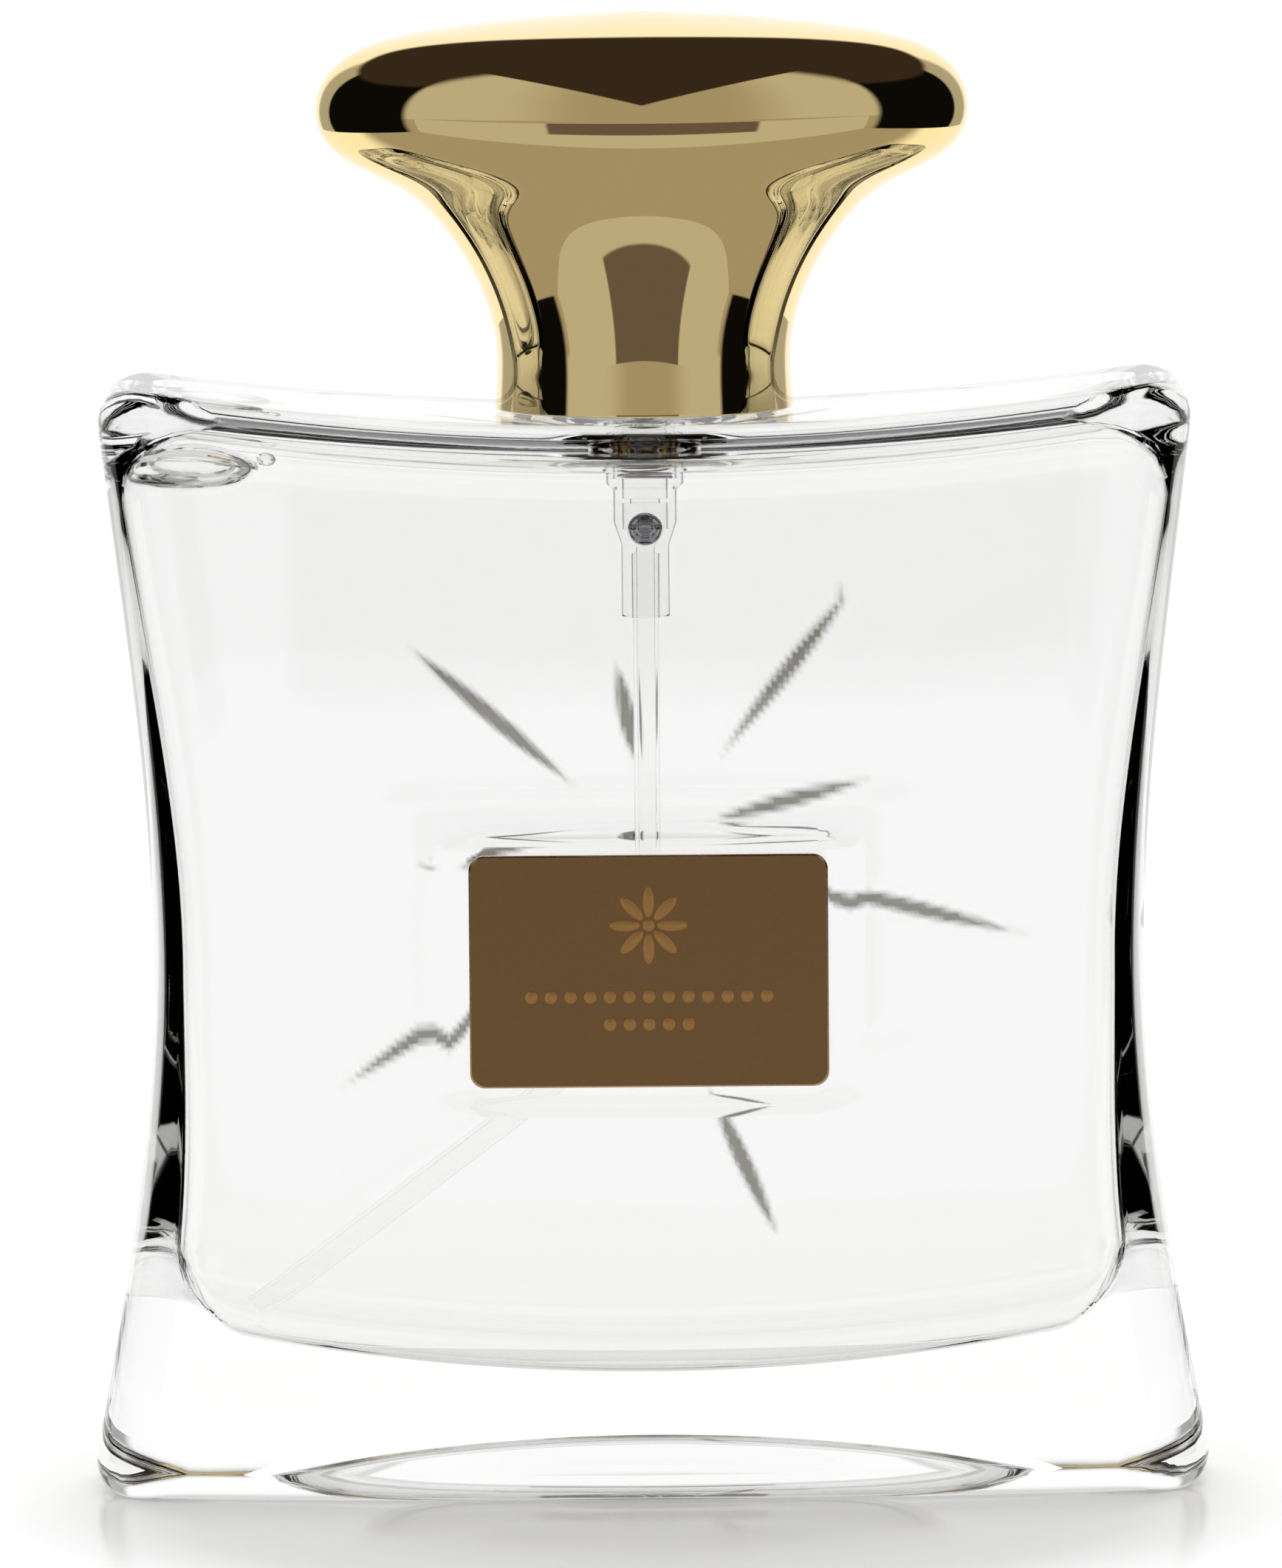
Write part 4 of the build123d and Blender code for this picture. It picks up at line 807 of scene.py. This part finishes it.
pale_gold = metal_finish(
    "pale_gold_relief", (0.66, 0.37, 0.110), (0.54, 0.29, 0.085), (0.30, 0.42), 2600.0, 0.08, metallic=0.5
)
petal_turn = np.arange(PETALS) * math.pi / 4 + math.pi / 2
rosette_mesh = lentils(
    "plaque_rosette",
    np.append(PETAL_MIDDLE * np.cos(petal_turn), 0.0),
    np.append(PETAL_MIDDLE * np.sin(petal_turn), 0.0) + ROSETTE_CENTRE,
    np.append(np.full(PETALS, PETAL_HALF[0]), BOSS_RADIUS),
    np.append(np.full(PETALS, PETAL_HALF[1]), BOSS_RADIUS),
    np.append(petal_turn, 0.0), RELIEF_HEIGHT, RELIEF_SUNK,
)
place("plaque_rosette", rosette_mesh, pale_gold, "bottle", "bronze_satin")
row_x = np.concatenate([(np.arange(beads) - beads // 2) * BEAD_PITCH for beads, _ in BEAD_ROWS])
row_z = np.concatenate([np.full(beads, height) for beads, height in BEAD_ROWS])
bead_radii = np.full(len(row_x), BEAD_RADIUS)
beads_mesh = lentils(
    "plaque_beads", row_x, row_z, bead_radii, bead_radii, np.zeros(len(row_x)), RELIEF_HEIGHT, RELIEF_SUNK
)
place("plaque_beads", beads_mesh, pale_gold, "bottle", "bronze_satin")


# ---------------------------------------------------------------------------------- plaque adhesive
# A clear pressure-sensitive film, the size of the plate, between it and the glass.
def refinish(node_name, finish):
    """Gives a node that stays as it is a finish of its own."""
    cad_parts[node_name].data.materials.clear()
    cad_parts[node_name].data.materials.append(finish)


clear_adhesive = clear_finish(
    "clear_adhesive", (0.97, 0.96, 0.93), 1.47, roughness=0.08, ripple=0.2, ripple_scale=900.0
)
refinish("plaque_adhesive", clear_adhesive)


# ---------------------------------------------------------------------------------- dip tube
# A clear polyethylene tube pushed into the pump. It hangs straight, bends to the left behind
# the plaque, and ends in the left corner of the floor. It is full of liquid.
TUBE_RADIUS = 1.1
TUBE_BORE_RADIUS = 0.75
TUBE_TOP = 81.78
TUBE_KINK = 41.6
TUBE_BEND = 28.0
TUBE_FOOT = (-34.2, 15.6)


def tube_route(steps):
    """Points down the tube's middle: straight down, round an arc of the bend's radius, and
    straight on to the foot."""
    run = np.array([TUBE_FOOT[0], TUBE_FOOT[1] - TUBE_KINK])
    reach = np.hypot(*run)
    turn = math.atan2(-run[0], -run[1])
    tangent = TUBE_BEND * math.tan(turn / 2)
    swing = np.linspace(0, turn, steps)
    arc_x = -TUBE_BEND * (1 - np.cos(swing))
    arc_z = TUBE_KINK + tangent - TUBE_BEND * np.sin(swing)
    down = np.linspace(TUBE_TOP, TUBE_KINK + tangent, steps, endpoint=False)
    share = np.linspace(0, 1, steps + 1)[1:]
    end_x = arc_x[-1] + (run[0] - arc_x[-1]) * share
    end_z = arc_z[-1] + (TUBE_FOOT[1] - arc_z[-1]) * share
    x = np.concatenate([0 * down, arc_x, end_x])
    z = np.concatenate([down, arc_z, end_z])
    return np.stack([x, np.zeros(3 * steps), z], -1)


def swept(route, side, radii, lines):
    """Rings round a route: for each radius in radii, every point of the route gets a circle
    that stands square to it. side is a direction that is square to the route."""
    ahead = np.gradient(route, axis=0)
    ahead /= np.linalg.norm(ahead, axis=1, keepdims=True)
    side = side - ahead * np.sum(side * ahead, axis=1, keepdims=True)
    side /= np.linalg.norm(side, axis=1, keepdims=True)
    other = np.cross(ahead, side)
    around = np.linspace(0, 2 * math.pi, lines, endpoint=False)[:, None]
    ring = side[:, None, :] * np.cos(around) + other[:, None, :] * np.sin(around)
    return [route[:, None, :] + radius * ring for radius in radii]


route = tube_route(26)
backwards = np.tile([0.0, 1.0, 0.0], (len(route), 1))
outer_tube, inner_tube = swept(route, backwards, (TUBE_RADIUS, TUBE_BORE_RADIUS), 28)
tube_points = np.concatenate([outer_tube, inner_tube[::-1]])
tube_mesh = closed_grid("dip_tube_clear", *np.moveaxis(tube_points, -1, 0), ring=True, crease=50)
# its index is relative to the liquid round it, as the pump housing's is
tube_clear = clear_finish(
    "tube_clear", (0.985, 0.985, 0.98), 1.075, roughness=0.01, ripple=0.05, ripple_scale=400.0
)
place("dip_tube_clear", tube_mesh, tube_clear, "bottle", "clear_tube", "dip_tube")


# ---------------------------------------------------------------------------------- pump housing
# A turned-looking moulding in natural polypropylene: barrel, spring pocket, ball chamber and
# the spigot that holds the tube. It is a little milky.
def turned(name, profile, crease=28, lines=96, ring=True):
    """A piece turned about the axis from (radius, height) points that go up its outside and
    down its inside."""
    profile = np.array(profile, float)
    around = np.linspace(0, 2 * math.pi, lines, endpoint=False)
    x, y = profile[:, :1] * np.cos(around), profile[:, :1] * np.sin(around)
    return closed_grid(name, x, y, profile[:, 1:] + 0 * x, ring=ring, crease=crease)


housing_mesh = turned("pump_housing_clear", (
    (1.12, 76.2), (1.95, 76.2), (2.05, 76.3), (2.05, 82.5), (2.7, 84.5), (2.7, 88.0), (3.3, 88.8),
    (3.3, 90.2), (4.3, 91.6), (4.3, 101.6), (7.1, 101.6), (7.1, 102.8), (3.4, 102.8), (3.4, 92.2),
    (2.6, 91.4), (2.6, 89.4), (1.85, 89.4), (1.85, 86.9), (1.2, 86.9), (1.2, 86.4), (1.85, 86.4),
    (1.85, 83.9), (0.75, 82.3), (0.75, 81.8), (1.12, 81.8),
))
milky = clear_finish(
    "pump_natural", (0.955, 0.955, 0.945), 1.095, roughness=0.10, ripple=0.05, ripple_scale=500.0
)
place("pump_housing_clear", housing_mesh, milky, "bottle", "pump_plastic", "pump_housing")


# ---------------------------------------------------------------------------------- inlet ball
# A stainless steel ball, ground and polished, that lies in the cone of its chamber.
BALL_RADIUS = 1.5
ball_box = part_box("inlet_ball")
ball_middle = (ball_box[0][2] + ball_box[1][2]) / 2 / MM
ball_polar = np.linspace(-math.pi / 2, math.pi / 2, 34)[1:-1]
ball_line = np.stack(
    [BALL_RADIUS * np.cos(ball_polar), ball_middle + BALL_RADIUS * np.sin(ball_polar)], -1
)
ball_mesh = turned("steel_ball", ball_line, crease=None, lines=48, ring=False)
ball_steel = metal_finish("ball_steel", (0.36, 0.38, 0.42), (0.30, 0.31, 0.34), (0.06, 0.12), 900.0)
place("steel_ball", ball_mesh, ball_steel, "inlet_ball", "steel_ball", "inlet_ball")


# ---------------------------------------------------------------------------------- springs
# The return spring is wound from stainless wire with closed ends. It sits in its pocket and
# pushes the stem up; pressing the pump would close it up, but here it is wound at its length at rest.
SPRING_WIRE = 0.4
SPRING_COIL = 4.4
SPRING_TURNS = 8
SPRING_SEAT = 89.42
SPRING_TOP = 97.78


def helix(name, wire, coil, turns, low, high, dead=0.9):
    """A round wire wound at a constant coil diameter; the first and the last dead turns lie
    almost flat."""
    share = np.linspace(0, 1, int(turns * 36))
    swing = share * turns * 2 * math.pi
    flat = dead / turns
    end_climb = wire / (high - low) * dead
    climb = np.interp(share, [0, flat, 1 - flat, 1], [0, end_climb, 1 - end_climb, 1])
    radius = coil / 2
    height = low + wire / 2 + climb * (high - low - wire)
    line = np.stack([radius * np.cos(swing), radius * np.sin(swing), height], -1)
    side = np.stack([np.cos(swing), np.sin(swing), 0 * swing], -1)
    rings = swept(line, side, (wire / 2,), 12)[0]
    return closed_grid(name, *np.moveaxis(rings, -1, 0), crease=60)


spring_steel = metal_finish(
    "spring_steel", (0.55, 0.55, 0.56), (0.44, 0.44, 0.45), (0.18, 0.30), 1500.0, 0.05
)
spring_mesh = helix("pump_spring", SPRING_WIRE, SPRING_COIL, SPRING_TURNS, SPRING_SEAT, SPRING_TOP)
pump_spring = place("pump_spring", spring_mesh, spring_steel, "bottle", "spring_steel", "main_spring")
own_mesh(pump_spring)
refinish("valve_spring", spring_steel)


# ---------------------------------------------------------------------------------- pump insides
# Moulded pieces inside the pump and under the crimp: the turret and the piston in white
# polyethylene, the stem in acetal, and the gasket in grey rubber.
def moulded_finish(name, colour, other, roughness=0.42, grain=700.0, bump=0.05, soft=0.0):
    """A moulded plastic: a faint mottle in its colour and a fine, shallow texture."""
    around = (roughness - 0.05, roughness + 0.05)
    finish = metal_finish(name, colour, other, around, grain, bump, metallic=0.0)
    shader = finish.node_tree.nodes["Principled BSDF"]
    if soft:
        shader.inputs["Subsurface Weight"].default_value = soft
        shader.inputs["Subsurface Scale"].default_value = 0.0006
    return finish


white_plastic = moulded_finish("white_plastic", (0.82, 0.82, 0.80), (0.77, 0.77, 0.75), soft=0.15)
gasket_rubber = moulded_finish(
    "gasket_rubber", (0.34, 0.34, 0.35), (0.28, 0.28, 0.29), roughness=0.65, bump=0.2
)
for node_name in ("turret", "piston", "stem"):
    refinish(node_name, white_plastic)
refinish("neck_gasket", gasket_rubber)


# ---------------------------------------------------------------------------------- ferrule, collar
# The ferrule is drawn from aluminium, anodised gold, and crimped under the bead of the neck.
# The collar is pressed from the same sheet, polished, and pushed over it.
gold_anodised = metal_finish(
    "gold_anodised", (0.86, 0.66, 0.34), (0.80, 0.60, 0.29), (0.12, 0.20), 1200.0, 0.03
)
ferrule_mesh = turned("ferrule_gold", (
    (6.75, 96.45), (6.80, 96.35), (7.75, 97.0), (7.92, 97.2), (7.95, 97.5), (7.95, 103.5), (7.87, 103.72),
    (7.65, 103.8), (3.85, 103.8), (3.75, 103.7), (3.75, 103.4), (7.55, 103.4), (7.55, 97.3), (6.75, 96.7),
))
place("ferrule_gold", ferrule_mesh, gold_anodised, "bottle", "gold_aluminium", "crimp_ferrule")
collar_mesh = turned("collar_gold", (
    (8.10, 94.2), (9.78, 94.2), (9.9, 94.35), (9.9, 108.3), (9.83, 108.6), (9.6, 108.78), (9.4, 108.8),
    (7.1, 108.8), (6.95, 108.72), (6.9, 108.5), (6.9, 108.1), (7.0, 107.95), (7.2, 107.9), (8.0, 107.9),
    (8.0, 94.3),
))
place("collar_gold", collar_mesh, gold_anodised, "bottle", "gold_aluminium", "collar")


# ---------------------------------------------------------------------------------- actuator
# A white core with a spray nozzle pushed into its side, in a gold-plated shell with a dished
# top for the finger.
gold_plated = metal_finish("gold_plated", (0.93, 0.73, 0.37), (0.89, 0.69, 0.33), (0.05, 0.10), 1000.0)
refinish("actuator", white_plastic)
refinish("nozzle_insert", white_plastic)
refinish("actuator_shell", gold_plated)


# ---------------------------------------------------------------------------------- over-cap
# A die-cast looking shell in mirror gold. A round sleeve flares into a wide pillow-shaped
# head with an oval plan. It is one closed surface, with its inside.
CAP_RIM = 94.1
CAP_HEIGHT = 34.6
CAP_SECTIONS = np.array([
    # share of the height, half width, half depth
    (0.000, 13.0, 12.9), (0.136, 12.7, 12.6), (0.211, 13.0, 12.6), (0.286, 13.8, 12.6), (0.361, 15.0, 12.7),
    (0.436, 16.6, 12.9), (0.512, 18.8, 13.3), (0.549, 20.3, 13.8), (0.587, 23.0, 14.4), (0.624, 25.7, 15.0),
    (0.662, 27.5, 15.6), (0.699, 28.4, 16.0), (0.737, 28.7, 16.2), (0.775, 28.6, 16.2), (0.812, 28.3, 16.0),
    (0.850, 27.6, 15.5), (0.896, 25.7, 14.5), (0.925, 23.5, 13.4), (0.948, 20.4, 11.6), (0.971, 14.8, 8.4),
    (0.988, 8.4, 4.8), (1.000, 0.0, 0.0),
])


def smoothed(points, count, passes):
    """A smooth line through a row of points: sampled evenly along straight runs, then
    relaxed a number of times with its two ends held."""
    steps = np.concatenate([[0], np.cumsum(np.linalg.norm(np.diff(points, axis=0), axis=1))])
    place_on = np.linspace(0, steps[-1], count)
    line = np.stack([np.interp(place_on, steps, column) for column in points.T], -1)
    for _ in range(passes):
        line[1:-1] = 0.25 * line[:-2] + 0.5 * line[1:-1] + 0.25 * line[2:]
    return line


def oval_rows(name, sections, lines, crease):
    """A surface of ovals from (height, half width, half depth) rows."""
    around = np.linspace(0, 2 * math.pi, lines, endpoint=False)
    x = sections[:, 1:2] * np.cos(around)
    y = sections[:, 2:3] * np.sin(around)
    return closed_grid(name, x, y, sections[:, :1] + 0 * x, crease=crease)


cap_line = CAP_SECTIONS * (CAP_HEIGHT, 1, 1) + (CAP_RIM, 0, 0)
cap_outside = smoothed(cap_line, 240, 60)
cap_outside[0] = (CAP_RIM, 12.75, 12.65)
rim_inside = [(CAP_RIM, 12.6, 12.5)]
rim_outside = [(CAP_RIM + 0.15, 12.98, 12.88)]
cap_outside = np.concatenate([rim_inside, cap_outside[:1], rim_outside, cap_outside[2:-1]])
cap_inside = np.array([
    (94.1, 11.6, 11.6), (94.3, 11.4, 11.4), (103.0, 11.4, 11.4), (105.0, 12.0, 11.4), (108.0, 13.2, 11.6),
    (111.0, 15.2, 12.0), (113.5, 18.0, 12.5), (116.0, 23.0, 13.2), (118.0, 25.6, 13.6), (120.5, 26.0, 13.8),
    (122.5, 25.4, 13.5), (124.3, 23.2, 12.4), (125.6, 18.0, 9.8), (126.1, 9.0, 5.0), (126.25, 1.0, 0.6),
])
cap_rows = np.concatenate([cap_inside[::-1], cap_outside])
cap_mesh = oval_rows("cap_gold", cap_rows, 180, 40)
mirror_gold = metal_finish("mirror_gold", (0.95, 0.76, 0.37), (0.94, 0.75, 0.355), (0.012, 0.03), 500.0)
place("cap_gold", cap_mesh, mirror_gold, "cap", "gold_mirror", "cap_shell")
liner_white = moulded_finish("liner_plastic", (0.70, 0.70, 0.68), (0.64, 0.64, 0.62), roughness=0.5)
weight_steel = metal_finish("weight_steel", (0.50, 0.50, 0.50), (0.36, 0.36, 0.36), (0.30, 0.50), 400.0, 0.15)
refinish("cap_liner", liner_white)
refinish("cap_weight", weight_steel)
